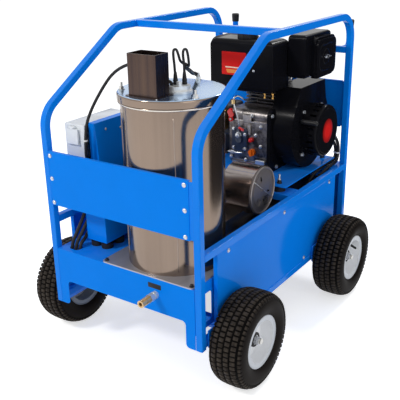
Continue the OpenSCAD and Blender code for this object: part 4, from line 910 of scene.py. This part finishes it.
class WASHER_OT_rims(bpy.types.Operator):
    """Pressed rims with their valve stems, hub seals, axle ends and nuts"""

    bl_idname = "washer.rims"
    bl_label = "Rims"

    def execute(self, context):
        paint(rim_paint(), "rim_fl", "rim_fr", "rim_rl", "rim_rr")
        paint(axle_finish(), "axles")
        paint(bright_nut(), "axle_nuts")
        hub_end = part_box("axle_nuts")[1][0] - 0.017
        rubber = mould_rubber("valve_rubber")
        valve_turn = {"f": 2.90, "r": 0.50}
        foot_out, reach_out, reach_in = 0.065, 0.044, 0.018
        radius = np.array([9, 8, 6, 5.2, 5.0, 4.8, 4.7, 4.7, 4.2]) * MM
        seal = np.array([(-8, 16.8), (-8, 24), (-7, 25), (1, 25), (2, 24), (2, 16.8)]) * MM
        for end, side, sign in WHEELS:
            body = "wheel_" + end + side
            across, up = np.cos(valve_turn[end]), np.sin(valve_turn[end])
            hub = np.array([0.0, AXLE_Y[end], AXLE_Z])
            foot = hub + (sign * (TYRE_X + 0.002), foot_out * across, foot_out * up)
            reach = np.array([sign * reach_out, -reach_in * across, -reach_in * up])
            route = foot + reach * np.linspace(0, 1, 9)[:, None]
            tube("valve_" + end + side, route, radius, 20, body, rubber)
            ring = turned("hub_seal_" + end + side, seal * (sign, 1), hub + (sign * hub_end, 0, 0), "x", body,
                          rubber, 48, closed=True)
        return {"FINISHED"}


# ---------------------------------------------------------------- frame and sheets

class WASHER_OT_frame(bpy.types.Operator):
    """Powder coated tubes, sheets and panels, with their screws, caps and mounts"""

    bl_idname = "washer.frame"
    bl_label = "Frame"

    def execute(self, context):
        sheets = ("front_deck", "rear_apron", "end_panel", "rear_panel", "side_panel_left",
                  "side_panel_right", "engine_deck")
        paint(blue_powder_coat("tube_paint", 0.1), "hoop_left", "hoop_right", "cross_tubes", "base_rails")
        paint(blue_powder_coat(), *sheets)
        for node in sheets:
            softened(node, looks("paint").edge)
        paint(bright_nut(), "panel_screws")
        paint(mould_rubber(), "rubber_mounts")
        paint(black_plastic(), "hook_caps")
        paint(mould_rubber("tank_plastic", tone(24, 24, 26)), "fuel_tank")
        return {"FINISHED"}


# ---------------------------------------------------------------- boiler and blower

def shell_seam(name, turn_deg, width, low, high, material):
    """Low ridge up the shell: over the seam's width the radius rises by half a sine wave, all the way up."""
    shell_radius, edge_radius, sunk_radius, rise = 165.0, 164.9, 164.5, 0.7
    share = np.linspace(0, 1, 9)
    turn = np.radians(turn_deg) + (share - 0.5) * width / shell_radius
    way = np.stack([np.cos(turn), np.sin(turn)], axis=-1)
    ridge = (edge_radius + rise * np.sin(np.pi * share))[:, None] * way
    outline = np.vstack([ridge, sunk_radius * way[::-1]]) + np.array(BOILER) * 1000
    levels, count = 24, len(outline)
    up = np.repeat(np.linspace(low, high, levels), count)
    points = np.column_stack([np.tile(outline, (levels, 1)), up]) * MM
    mesh_piece(name, points, capped_faces(levels, count), body_of("boiler_shell"), material)


class WASHER_OT_boiler(bpy.types.Operator):
    """Stainless boiler with its base plate, lid, flue and burner head"""

    bl_idname = "washer.boiler"
    bl_label = "Boiler"

    def execute(self, context):
        steel = looks("boiler").steel
        paint(sheet_steel("shell_steel", steel, 0.17, (900.0, 9.0, 5.0), (*BOILER, 0.0)), "boiler_shell")
        paint(lid_steel(), "boiler_lid")
        base = sheet_steel("base_steel", tone(178, 178, 184), 0.45, (300.0, 9.0, 9.0), metal=0.7)
        paint(base, "boiler_base")
        paint(flue_steel(), "flue")
        paint(stud_finish(0.6), "boiler_nuts")
        paint(burner_casting(), "burner_head")
        paint(sheet_steel("coil_steel", tone(110, 104, 100), 0.5, (40.0, 40.0, 40.0)), "heating_coil")
        low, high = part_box("boiler_shell")
        # The seam's steel is a little lighter than the shell's: a painted highlight along the ridge
        seam = sheet_steel("seam_steel", tone(150, 136, 126), 0.3, (9.0, 9.0, 300.0))
        for k, (turn, width) in enumerate(((-52.5, 3.4), (-127.0, 2.6), (-131.2, 2.6), (64.0, 3.4))):
            shell_seam("shell_seam_%d" % k, turn, width, low[2] * 1000 + 14, high[2] * 1000 - 26, seam)
        return {"FINISHED"}


class WASHER_OT_blower(bpy.types.Operator):
    """Blower drum, cover with its clip, louvres and rolled edge, shutter, fan and motor"""

    bl_idname = "washer.blower"
    bl_label = "Blower"

    def execute(self, context):
        drum = sheet_steel("drum_steel", tone(158, 150, 148), 0.2, (600.0, 9.0, 9.0), BLOWER, True)
        paint(drum, "blower_housing")
        brushed = sheet_steel("cover_steel", tone(150, 143, 141), 0.36, (9.0, 9.0, 300.0), BLOWER, True, 0.75)
        paint(brushed, "blower_cover", "air_shutter")
        paint(cast_iron(), "blower_fan")
        paint(cast_aluminium(), "blower_motor")
        low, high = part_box("blower_cover")
        face, body = high[0] * 1000, body_of("blower_cover")
        middle_y, middle_z = BLOWER[1] * 1000, BLOWER[2] * 1000
        clip_start, clip_end, clip_reach, sunk = 2.5, -0.64, 84, 1.4
        first, last = (np.array([face - sunk, middle_y + clip_reach * math.cos(turn),
                                 middle_z + clip_reach * math.sin(turn)]) for turn in (clip_start, clip_end))
        route = [first, first + [7, 5, -4], (first + last) / 2 + [7.5, 0, 0], last + [7, -5, 4], last]
        pipe("cover_clip", route, 3.2, body, zinc_plate())
        slot = [(-0.6, rounded(30, 3.2, 1.5)), (0.5, rounded(30, 3.2, 1.5)), (0.9, rounded(28, 2.2, 1.0))]
        shutter_face, pitch, slant = face + 2.4, 7.5, 0.4
        places = [(shutter_face, middle_y + 18 - slant * k, middle_z - 26 - pitch * k) for k in range(5)]
        stacked("cover_louvres", places, "right", slot, body_of("air_shutter"), black_plastic())
        turn, bead = np.arange(12) * np.pi / 6, 0.0035
        roll = (high[1] - low[1]) / 2 - 0.004 + bead * np.cos(turn)
        rise = high[0] - BLOWER[0] - 0.002 + bead * np.sin(turn)
        turned("cover_edge", np.column_stack([rise, roll]), BLOWER, "x", body, brushed, 96, closed=True)
        return {"FINISHED"}


# ---------------------------------------------------------------- engine

class WASHER_OT_engine(bpy.types.Operator):
    """Air cooled engine with its covers, tank, cleaner and small parts"""

    bl_idname = "washer.engine"
    bl_label = "Engine"

    def execute(self, context):
        paint(black_enamel(), "fan_shroud", "engine_tank", "air_cleaner", "starter_housing")
        paint(cast_aluminium(), "crankcase")
        paint(barrel_casting(), "cylinder_head")
        paint(cast_iron(), "flywheel", "muffler")
        paint(black_plastic(), "starter_grip", "tank_cap")
        paint(bright_nut(), "wing_nut")
        paint(colour_plastic("red_plastic", looks("paint").red), "speed_lever")
        paint(colour_plastic("orange_plastic", looks("paint").orange), "oil_cap")
        paint(pump_enamel(), "injection_pump")
        for node, width in (("fan_shroud", 5.0), ("engine_tank", 2.0), ("air_cleaner", 3.0), ("muffler", 3.0),
                            ("starter_housing", 1.5), ("crankcase", 3.0)):
            softened(node, width * MM)
        self.tank_front()
        self.starter_front()
        self.starter_rope()
        self.cleaner_front()
        self.cover_fasteners()
        self.lever_front()
        self.case_fasteners()
        self.case_pieces()
        self.case_pipes()
        return {"FINISHED"}

    def tank_front(self):
        """Plain red panel with bare stripes, on the front of the tank."""
        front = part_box("engine_tank")[0][1] * 1000
        panel = slab(106, 86, 3, -0.2, 0.35, 0.5, 1, 2.6)
        stacked("tank_panel", (19, front, 957), "front", panel, body_of("engine_tank"),
                panel_stripes(looks("paint").red))

    def starter_front(self):
        """Front disc of the starter, with a plain red oval in its middle."""
        body = body_of("starter_housing")
        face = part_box("starter_housing")[1][0]
        disc = [(-1.0, 0), (-1.0, 90), (0.6, 90), (1.2, 88.5), (1.4, 86), (1.0, 80), (0.9, 60), (0.9, 0)]
        turned("starter_disc", np.array(disc) * MM, (face, *CRANK), "x", body,
               black_enamel("starter_enamel", 0.3))
        badge = [(0.6, oval(44, 48)), (1.7, oval(44, 48)), (2.2, oval(42.5, 46.5)), (2.2, oval(27, 30))]
        middle = np.array([face, *CRANK]) * 1000
        stacked("starter_badge", middle, "right", badge, body, badge_red(looks("paint").red))

    def starter_rope(self):
        """Pull cord: rings across the way it is pulled, on a short line from the guide into the grip's stem.
        They lie in the stem at rest."""
        guide_turn, guide_x = math.radians(154), 0.257
        pull = np.array(next(j["axis"] for j in frame["joints"] if j["name"] == "starter_pull"), float)
        pull /= np.linalg.norm(pull)
        side = np.cross(pull, (0, 0, 1))
        side /= np.linalg.norm(side)
        across = np.array([0.0, math.cos(guide_turn), math.sin(guide_turn)])
        middle = np.array([guide_x, *CRANK])
        rings, sides, radius = 49, 12, 0.0022
        reach = np.linspace(0.1085, 0.1195, rings)[:, None, None]
        ring = np.linspace(0, 2 * np.pi, sides, endpoint=False)[:, None]
        section = radius * (np.cos(ring) * side + np.sin(ring) * np.cross(pull, side))
        points = (middle + reach * across + section).reshape(-1, 3)
        rope = mesh_piece("starter_rope", points, capped_faces(rings, sides), None,
                          mould_rubber("starter_cord", tone(64, 64, 66)))
        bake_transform(rope)

    def cleaner_front(self):
        """Pressed bead and dish around the wing nut of the air cleaner."""
        body = body_of("air_cleaner")
        bead = [(-0.5, rounded(132, 104, 34)), (1.4, rounded(128, 100, 32)), (2.4, rounded(124, 96, 30)),
                (1.4, rounded(120, 92, 28)), (-0.5, rounded(116, 88, 26))]
        stacked("cleaner_bead", (285, 368.75, 969), "right", bead, body, black_enamel(), loop=True)
        dish = [(-0.5, 30), (2.0, 28), (3.6, 24), (4.0, 19), (3.2, 14), (2.6, 9), (2.6, 0), (-0.5, 0)]
        turned("cleaner_dish", np.array(dish) * MM, (0.285, 0.36375, 0.971), "x", body, black_enamel())

    def cover_fasteners(self):
        """Bolts of the flange and shroud, the tank's screw and taps, and the breather pipe."""
        body = body_of("fan_shroud")
        flange = [(190, 758), (229, 545), (500, 548), (506, 750)]
        bolts("flange_bolts", [(FLANGE_FACE, *place) for place in flange], "right", 12, 7, body)
        shroud = [(289.4, 763), (282.4, 595), (444, 763), (451, 595)]
        bolts("shroud_bolts", [(SHROUD_FACE, *place) for place in shroud], "right", 12, 7, body)
        tank = body_of("engine_tank")
        pan = rounds((-0.5, 4.6), (1.0, 4.6), (2.2, 3.8), (2.7, 2.0))
        stacked("tank_screw", (104.4, 127.75, 936.8), "front", pan, tank, bright_nut())
        tap = [(-1.0, hexagon(8)), (4, hexagon(8)), (5, circle(2.5)), (14, circle(2.5)), (14, hexagon(7)),
               (19, hexagon(7)), (20, circle(2.5))]
        stacked("fuel_taps", [(138, 156, 852), (170, 160, 852)], "down", tap, tank, brass())
        pipe("breather_pipe", [(188, 268, 890), (190, 270, 912), (192, 271, 950), (190, 272, 990),
                               (182, 278, 1004), (170, 290, 1006)], 9, body, bright_nut())

    def lever_front(self):
        """Raised pad on the front of the speed lever, turned as the lever is."""
        low, high = (np.array(corner) * 1000 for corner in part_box("speed_lever"))
        middle = ((low[0] + high[0]) / 2, low[1], (low[2] + high[2]) / 2 + 6)
        pad = slab(24, 32, 9, -3.4, 0.2, 1.0, 2, 8)
        stacked("lever_pad", middle, "front", pad, body_of("speed_lever"), packed("red_plastic"), tilt=0.45)

    def case_fasteners(self):
        """Bolts and nuts on the front of the crankcase and fuel pump."""
        body = body_of("crankcase")
        on_pump = [(-30, 682), (22, 664), (22, 604), (-30, 604)]
        bolts("pump_bolts", [(x, PUMP_FACE, z) for x, z in on_pump], "front", 10, 6, body)
        bolts("delivery_nut", (-7, PUMP_FACE, 658), "front", 19, 11, body)
        on_case = [(65, 664), (88, 700), (88, 620), (-48, 560), (20, 556), (47, 740)]
        bolts("case_bolts", [(x, CASE_FACE, z) for x, z in on_case], "front", 11, 7, body)

    def case_pieces(self):
        """Stop lever, filler seal, strip, ledge and foot on the front of the crankcase and fuel pump."""
        red, alloy, zinc = packed("red_plastic"), cast_aluminium(), bright_nut()
        seal = rounds((-0.5, 9.5), (12, 9.5), (13, 8.6), (17, 6.5), (18, 4.5))
        for name, place, rings, material, tilt in (
                ("stop_lever", (6, PUMP_FACE, 684), slab(27, 10, 4.5, -0.5, 3.4, 4.2, 2, 3.6), red, -0.35),
                ("filler_seal", (47, CASE_FACE, 643), seal, red, 0),
                ("case_strip", (36, CASE_FACE, 682), slab(13, 42, 3, -0.5, 5, 6, 2, 2.4), alloy, 0),
                ("case_ledge", (28, CASE_FACE, 731), slab(38, 27, 6, -0.5, 8, 10, 4, 4.5), alloy, 0),
                ("case_foot", (92, CASE_FACE, 556), slab(44, 20, 5, -0.5, 13, 15, 4, 4), zinc, 0)):
            stacked(name, place, "front", rings, body_of("crankcase"), material, tilt)

    def case_pipes(self):
        """Return pipe and delivery pipe of the fuel pump, each with its nut."""
        body, zinc = body_of("crankcase"), bright_nut()
        pipe("return_pipe", [(-56, 219, 583), (-56, 210, 583), (-50, 205, 583), (-28, 204, 583.5),
                             (-6, 205, 584), (4, 208, 585), (6, 219, 585)], 8, body, zinc)
        stacked("return_nut", (-34, 204, 583.4), "left", nut(-7, 7, 14, 5.5), body, zinc)
        pipe("delivery_pipe", [(-8, 213, 688), (-2, 200, 704), (-8, 193, 748), (-21, 192, 790),
                               (-19, 194, 811), (-7, 206, 815), (8, 222, 801), (16, 262, 786),
                               (26, 300, 784)], 6.5, body, zinc)
        stacked("delivery_collar", (-21.5, 192, 794), "up", nut(-8, 8, 14, 5), body, packed("brass"))


# ---------------------------------------------------------------- pump and controls

class WASHER_OT_pump(bpy.types.Operator):
    """Pump, its head and the unloader knob"""

    bl_idname = "washer.pump"
    bl_label = "Pump"

    def execute(self, context):
        paint(cast_iron(), "pump")
        paint(brass(), "pump_head")
        paint(black_plastic(), "unloader_knob")
        return {"FINISHED"}


class WASHER_OT_controls(bpy.types.Operator):
    """Control cabinet with its screws, switch box and socket flap"""

    bl_idname = "washer.controls"
    bl_label = "Controls"

    def execute(self, context):
        paint(blue_powder_coat(), "control_cabinet")
        paint(grey_box_plastic(), "switch_box", "socket_flap")
        for node in ("control_cabinet", "socket_flap", "switch_box"):
            softened(node, looks("paint").edge)
        low, high = (np.array(corner) * 1000 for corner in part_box("control_cabinet"))
        # Above the start of its slope the cabinet's side leans in, by 16 in 193
        slope, slope_start = 16.0 / 193.0, low[2] + 235
        places = [(high[0] - slope * (z - slope_start), y, z) for y, z in ((-420, 811), (-347, 801))]
        dome = rounds((-1.5, 5), (0.6, 5), (0.6, 3.8), (2.2, 3.2), (2.8, 1.8))
        stacked("cabinet_screws", places, "right", dome, "frame", bright_nut())
        return {"FINISHED"}


# ---------------------------------------------------------------- lines

# Routes in millimetres: across, back from the front posts, and up
LEAD_FUEL = [(126, 142, 983.3), (126, 142, 990), (118, 138, 996), (100, 130, 1002), (60, 116, 1014),
             (20, 110, 1034), (-16, 106, 1038), (-76, 99, 1002), (-128, 81, 927), (-154, 58, 857),
             (-164, 50, 789), (-166, 50, 700), (-166, 56, 630), (-166, 64, 600), (-166, 77.7, 600)]
LEAD_LEFT = [(130, 159, 1000), (127, 160, 1040), (124, 160, 1072), (124, 163, 1086), (130, 168, 1087),
             (134, 172, 1072), (137, 178, 1052), (140, 198, 1038)]
LEAD_RIGHT = [(152, 176, 1000), (151, 177, 1040), (148, 177, 1072), (149, 180, 1086), (155, 185, 1087),
              (158, 188, 1072), (158, 192, 1050), (150, 204, 1034)]
LEAD_MAIN = [(144, 194, 1040), (134, 216, 1024), (116, 256, 1008), (99, 296, 992), (80, 340, 980),
             (68, 372, 960), (64, 392, 880), (64, 404, 760), (64, 450, 660), (66, 500, 630), (66, 504, 601.5)]
HARNESS = [
    [(-262, 415.7, 262), (-262, 380, 262), (-264, 200, 268), (-262, 90, 290), (-256, 34, 345),
     (-254, 36, 400), (-243, 58, 450), (-234, 84, 500), (-236, 116, 560), (-240, 124, 600), (-240, 124, 617)],
    [(-240, 415.7, 262), (-240, 380, 262), (-242, 200, 268), (-244, 90, 290), (-240, 36, 345),
     (-238, 40, 400), (-230, 64, 440), (-228, 100, 486), (-234, 138, 550), (-240, 148, 600),
     (-240, 148, 617)],
    [(-218, 415.7, 262), (-218, 380, 262), (-220, 200, 268), (-224, 90, 290), (-224, 40, 345),
     (-224, 44, 396), (-228, 80, 420), (-230, 124, 462), (-236, 164, 540), (-240, 172, 600),
     (-240, 172, 617)]]
FEED_HOSE = [(-177, 783.7, 662), (-177, 765, 662), (-178, 700, 640), (-150, 600, 580), (-90, 500, 520),
             (-20, 420, 482), (28, 372, 470), (28, 342.4, 470)]
OUTLET_HOSE = [(141, 32.3, 330), (141, 60, 330), (141, 110, 332), (128, 156, 342), (103, 176, 366),
               (101, 178, 376), (101, 178, 386.6)]
REAR_HOSES = [
    [(237.3, 1028, 655), (250, 1028, 655), (272, 1042, 634), (285, 1062, 594), (287, 1070, 560),
     (287, 1066, 532), (287, 1052, 514), (287, 1020, 511.5), (286, 960, 506), (276, 912, 484),
     (268, 896, 460), (268, 896, 444.3)],
    [(237.3, 1014, 630), (248, 1014, 630), (264, 1038, 614), (271, 1062, 588), (272, 1075, 558),
     (272, 1077, 534), (270, 1064, 516), (268, 1034, 511.5), (262, 960, 510), (252, 900, 486),
     (248, 880, 460), (248, 880, 444.3)]]


class WASHER_OT_leads(bpy.types.Operator):
    """Ignition and fuel leads with the rubber boots they leave from"""

    bl_idname = "washer.leads"
    bl_label = "Leads"

    def execute(self, context):
        rubber = mould_rubber("lead_rubber", looks("lines").rubber)
        paint(rubber, "ignition_leads")
        for name, route, size in (("lead_fuel", LEAD_FUEL, 10), ("lead_left", LEAD_LEFT, 8),
                                  ("lead_right", LEAD_RIGHT, 8), ("lead_main", LEAD_MAIN, 13)):
            line_piece(name, route, size, rubber, "ignition_leads")
        boot = [(0, 0), (0, 8), (6, 8), (7, 7), (9, 7), (10, 8), (13, 8), (15, 7.2), (30, 5.6), (38, 4.6),
                (38, 0)]
        for k, (x, d) in enumerate(((130, 159), (152, 176))):
            foot = (x * MM, FRONT_Y + d * MM, 0.983)
            piece = turned("boot_%d" % k, np.array(boot) * MM, foot, "z", "frame", rubber, 24)
            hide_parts("ignition_leads")
        return {"FINISHED"}


class WASHER_OT_hoses(bpy.types.Operator):
    """Water hoses, fuel hoses and the cable harness, with their ties, the outlet and the plate above it"""

    bl_idname = "washer.hoses"
    bl_label = "Hoses"

    def execute(self, context):
        rubber = mould_rubber("hose_rubber", looks("lines").rubber)
        paint(rubber, "hoses")
        lines = [("harness_%d" % k, route, 12) for k, route in enumerate(HARNESS)]
        lines += [("rear_hose_%d" % k, route, 13) for k, route in enumerate(REAR_HOSES)]
        for name, route, size in (*lines, ("feed_hose", FEED_HOSE, 20), ("outlet_hose", OUTLET_HOSE, 20)):
            line_piece(name, route, size, rubber, "hoses")
        paint(outlet_finish(), "outlet_fitting")
        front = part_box("front_deck")[0][1] * 1000
        plate = slab(52, 17, 1.5, -0.3, 0.8, 1.1, 1, 1.2)
        stacked("blank_plate", (138, front, 359.5), "front", plate, "frame", black_plastic())
        tie = colour_plastic("tie_plastic", tone(238, 238, 236), 0.4)
        band = rounds((-2.5, 6.9), (2.5, 6.9), (2.5, 5.2), (-2.5, 5.2))
        stacked("tie_lead", (-164, FRONT_Y * 1000 + 50.1, 787), "up", band, "frame", tie, loop=True)
        outer, inner = rounded(31, 19, 9), rounded(28.6, 16.6, 7.8)
        wide = [(-3, outer), (3, outer), (3, inner), (-3, inner)]
        stacked("tie_rear", (279.5, 522.5, 548), "up", wide, "frame", tie, tilt=-0.45, loop=True)
        return {"FINISHED"}


# ---------------------------------------------------------------- stage

def lamp(name, place, target, power, size, colour=(1, 1, 1)):
    """Round soft lamp at a place, turned to a target."""
    data = bpy.data.lights.new(name, "AREA")
    data.energy = power
    data.shape = "DISK"
    data.size = size
    data.color = colour
    aim = (Vector(target) - Vector(place)).to_track_quat("-Z", "Y").to_matrix().to_4x4()
    placed(name, data).matrix_world = Matrix.Translation(place) @ aim


def seen_share(net):
    """1 for rays that come from the camera, or through or off a shiny surface."""
    path = net.add("ShaderNodeLightPath").outputs
    most = net.math("MAXIMUM", path["Is Camera Ray"], path["Is Glossy Ray"])
    return net.math("MAXIMUM", most, path["Is Transmission Ray"])


def flat_sheet(name, corners, material):
    """One face of the stage."""
    mesh = bpy.data.meshes.new(name)
    mesh.from_pydata([tuple(corner) for corner in corners], [], [(0, 1, 2, 3)])
    mesh.materials.append(material)
    sheet = placed(name, mesh)
    return sheet


def floor_material():
    """Matt floor that shows near white and keeps the shadow of the object."""
    material = bpy.data.materials.new("plain_floor")
    net = blank_net(material)
    matt = net.add("ShaderNodeBsdfDiffuse", {"Color": looks("stage").floor}).outputs[0]
    glow = net.add("ShaderNodeEmission", {"Color": (1, 1, 1, 1), "Strength": 0.6}).outputs[0]
    both = net.add("ShaderNodeAddShader", {0: matt, 1: glow}).outputs[0]
    pick = net.add("ShaderNodeMixShader", {0: seen_share(net), 1: matt, 2: both})
    net.add("ShaderNodeOutputMaterial", {0: pick.outputs[0]})
    return material


def screen(name, turn_deg, away, width, height, colour):
    """Upright screen beside the object that only shows in shiny surfaces, as a studio's dark flags do."""
    turn = math.radians(turn_deg)
    middle = Vector((away * math.cos(turn), away * math.sin(turn), 0.0))
    top = Vector((0, 0, height))
    side = Vector((-math.sin(turn), math.cos(turn), 0.0)) * width / 2
    material = bpy.data.materials.new(name)
    net = blank_net(material)
    glow = net.add("ShaderNodeEmission", {"Color": colour, "Strength": 1.0})
    net.add("ShaderNodeOutputMaterial", {0: glow.outputs[0]})
    corners = (middle - side, middle + side, middle + side + top, middle - side + top)
    piece = flat_sheet(name, corners, material)
    for kind in ("camera", "diffuse", "transmission", "volume_scatter", "shadow"):
        setattr(piece, "visible_" + kind, False)


def room_light(scene, strength):
    """Even pale blue light on the object; the camera and shiny surfaces see white."""
    scene.world = bpy.data.worlds.new("room")
    net = blank_net(scene.world)
    even = net.add("ShaderNodeBackground", {"Color": (0.93, 0.96, 1.0, 1), "Strength": strength}).outputs[0]
    white = net.add("ShaderNodeBackground", {"Color": (1, 1, 1, 1), "Strength": 1.0}).outputs[0]
    pick = net.add("ShaderNodeMixShader", {0: seen_share(net), 1: even, 2: white})
    net.add("ShaderNodeOutputWorld", {0: pick.outputs[0]})


def stage_camera(scene, lens, place, yaw, pitch, roll):
    """Camera at a place in metres, turned by yaw from +Y, pitch from level and roll, all in degrees."""
    camera = bpy.data.cameras.new("view")
    camera.lens = lens
    camera.sensor_width = 36.0
    yaw, pitch, roll = (math.radians(a) for a in (yaw, pitch, roll))
    ahead = Vector((-math.sin(yaw) * math.cos(pitch), math.cos(yaw) * math.cos(pitch), math.sin(pitch)))
    right = ahead.cross(Vector((0, 0, 1))).normalized()
    up = right.cross(ahead)
    across = right * math.cos(roll) + up * math.sin(roll)
    upward = up * math.cos(roll) - right * math.sin(roll)
    turn = Matrix((across, upward, -ahead)).transposed().to_4x4()
    scene.camera = placed("view", camera)
    scene.camera.matrix_world = Matrix.Translation(place) @ turn


class WASHER_OT_stage(bpy.types.Operator):
    """Plain pale floor, soft lamps and the camera"""

    bl_idname = "washer.stage"
    bl_label = "Stage"

    def execute(self, context):
        s = looks("stage")
        side = 60.0
        flat_sheet("floor", [(-side, -side, 0), (side, -side, 0), (side, side, 0), (-side, side, 0)],
                   floor_material())
        room_light(context.scene, s.sky)
        screen("dark_screen", 50.0, 1.35, 2.0, 1.5, (0.028, 0.028, 0.036, 1))
        lamp("key", (-2.2, -4.6, 4.6), (0, 0, 0.6), s.key, 0.9, (1.0, 0.98, 0.94))
        lamp("fill", (4.6, -1.6, 2.4), (0, 0, 0.6), s.fill, 2.6, (0.94, 0.97, 1.0))
        lamp("back", (0.6, 3.4, 3.4), (0, 0, 0.8), s.back, 0.9)
        stage_camera(context.scene, s.lens, (1.3901, -2.07875, 1.4143), 34.88, -21.12, -1.18)
        context.scene.view_settings.view_transform = "Standard"
        return {"FINISHED"}


class WASHER_PT_panel(bpy.types.Panel):
    """Lists the pieces of the washer"""

    bl_idname = "WASHER_PT_panel"
    bl_label = "Pressure washer"
    bl_space_type = "VIEW_3D"
    bl_region_type = "UI"
    bl_category = "Washer"

    def draw(self, context):
        for step in STEPS:
            self.layout.operator(step.bl_idname)


STEPS = (WASHER_OT_stage, WASHER_OT_tyres, WASHER_OT_rims, WASHER_OT_frame, WASHER_OT_boiler,
         WASHER_OT_blower, WASHER_OT_engine, WASHER_OT_pump, WASHER_OT_controls, WASHER_OT_leads,
         WASHER_OT_hoses)
CLASSES = (*LOOKS.values(), *STEPS, WASHER_PT_panel)


def register():
    for kind in CLASSES:
        bpy.utils.register_class(kind)
    for name, kind in LOOKS.items():
        setattr(bpy.types.Scene, name, PointerProperty(type=kind))


def unregister():
    for name in LOOKS:
        delattr(bpy.types.Scene, name)
    for kind in reversed(CLASSES):
        bpy.utils.unregister_class(kind)


def main():
    register()
    build_groups()
    for step in STEPS:
        area, word = step.bl_idname.split(".")
        getattr(getattr(bpy.ops, area), word)()


if __name__ == "__main__":
    main()
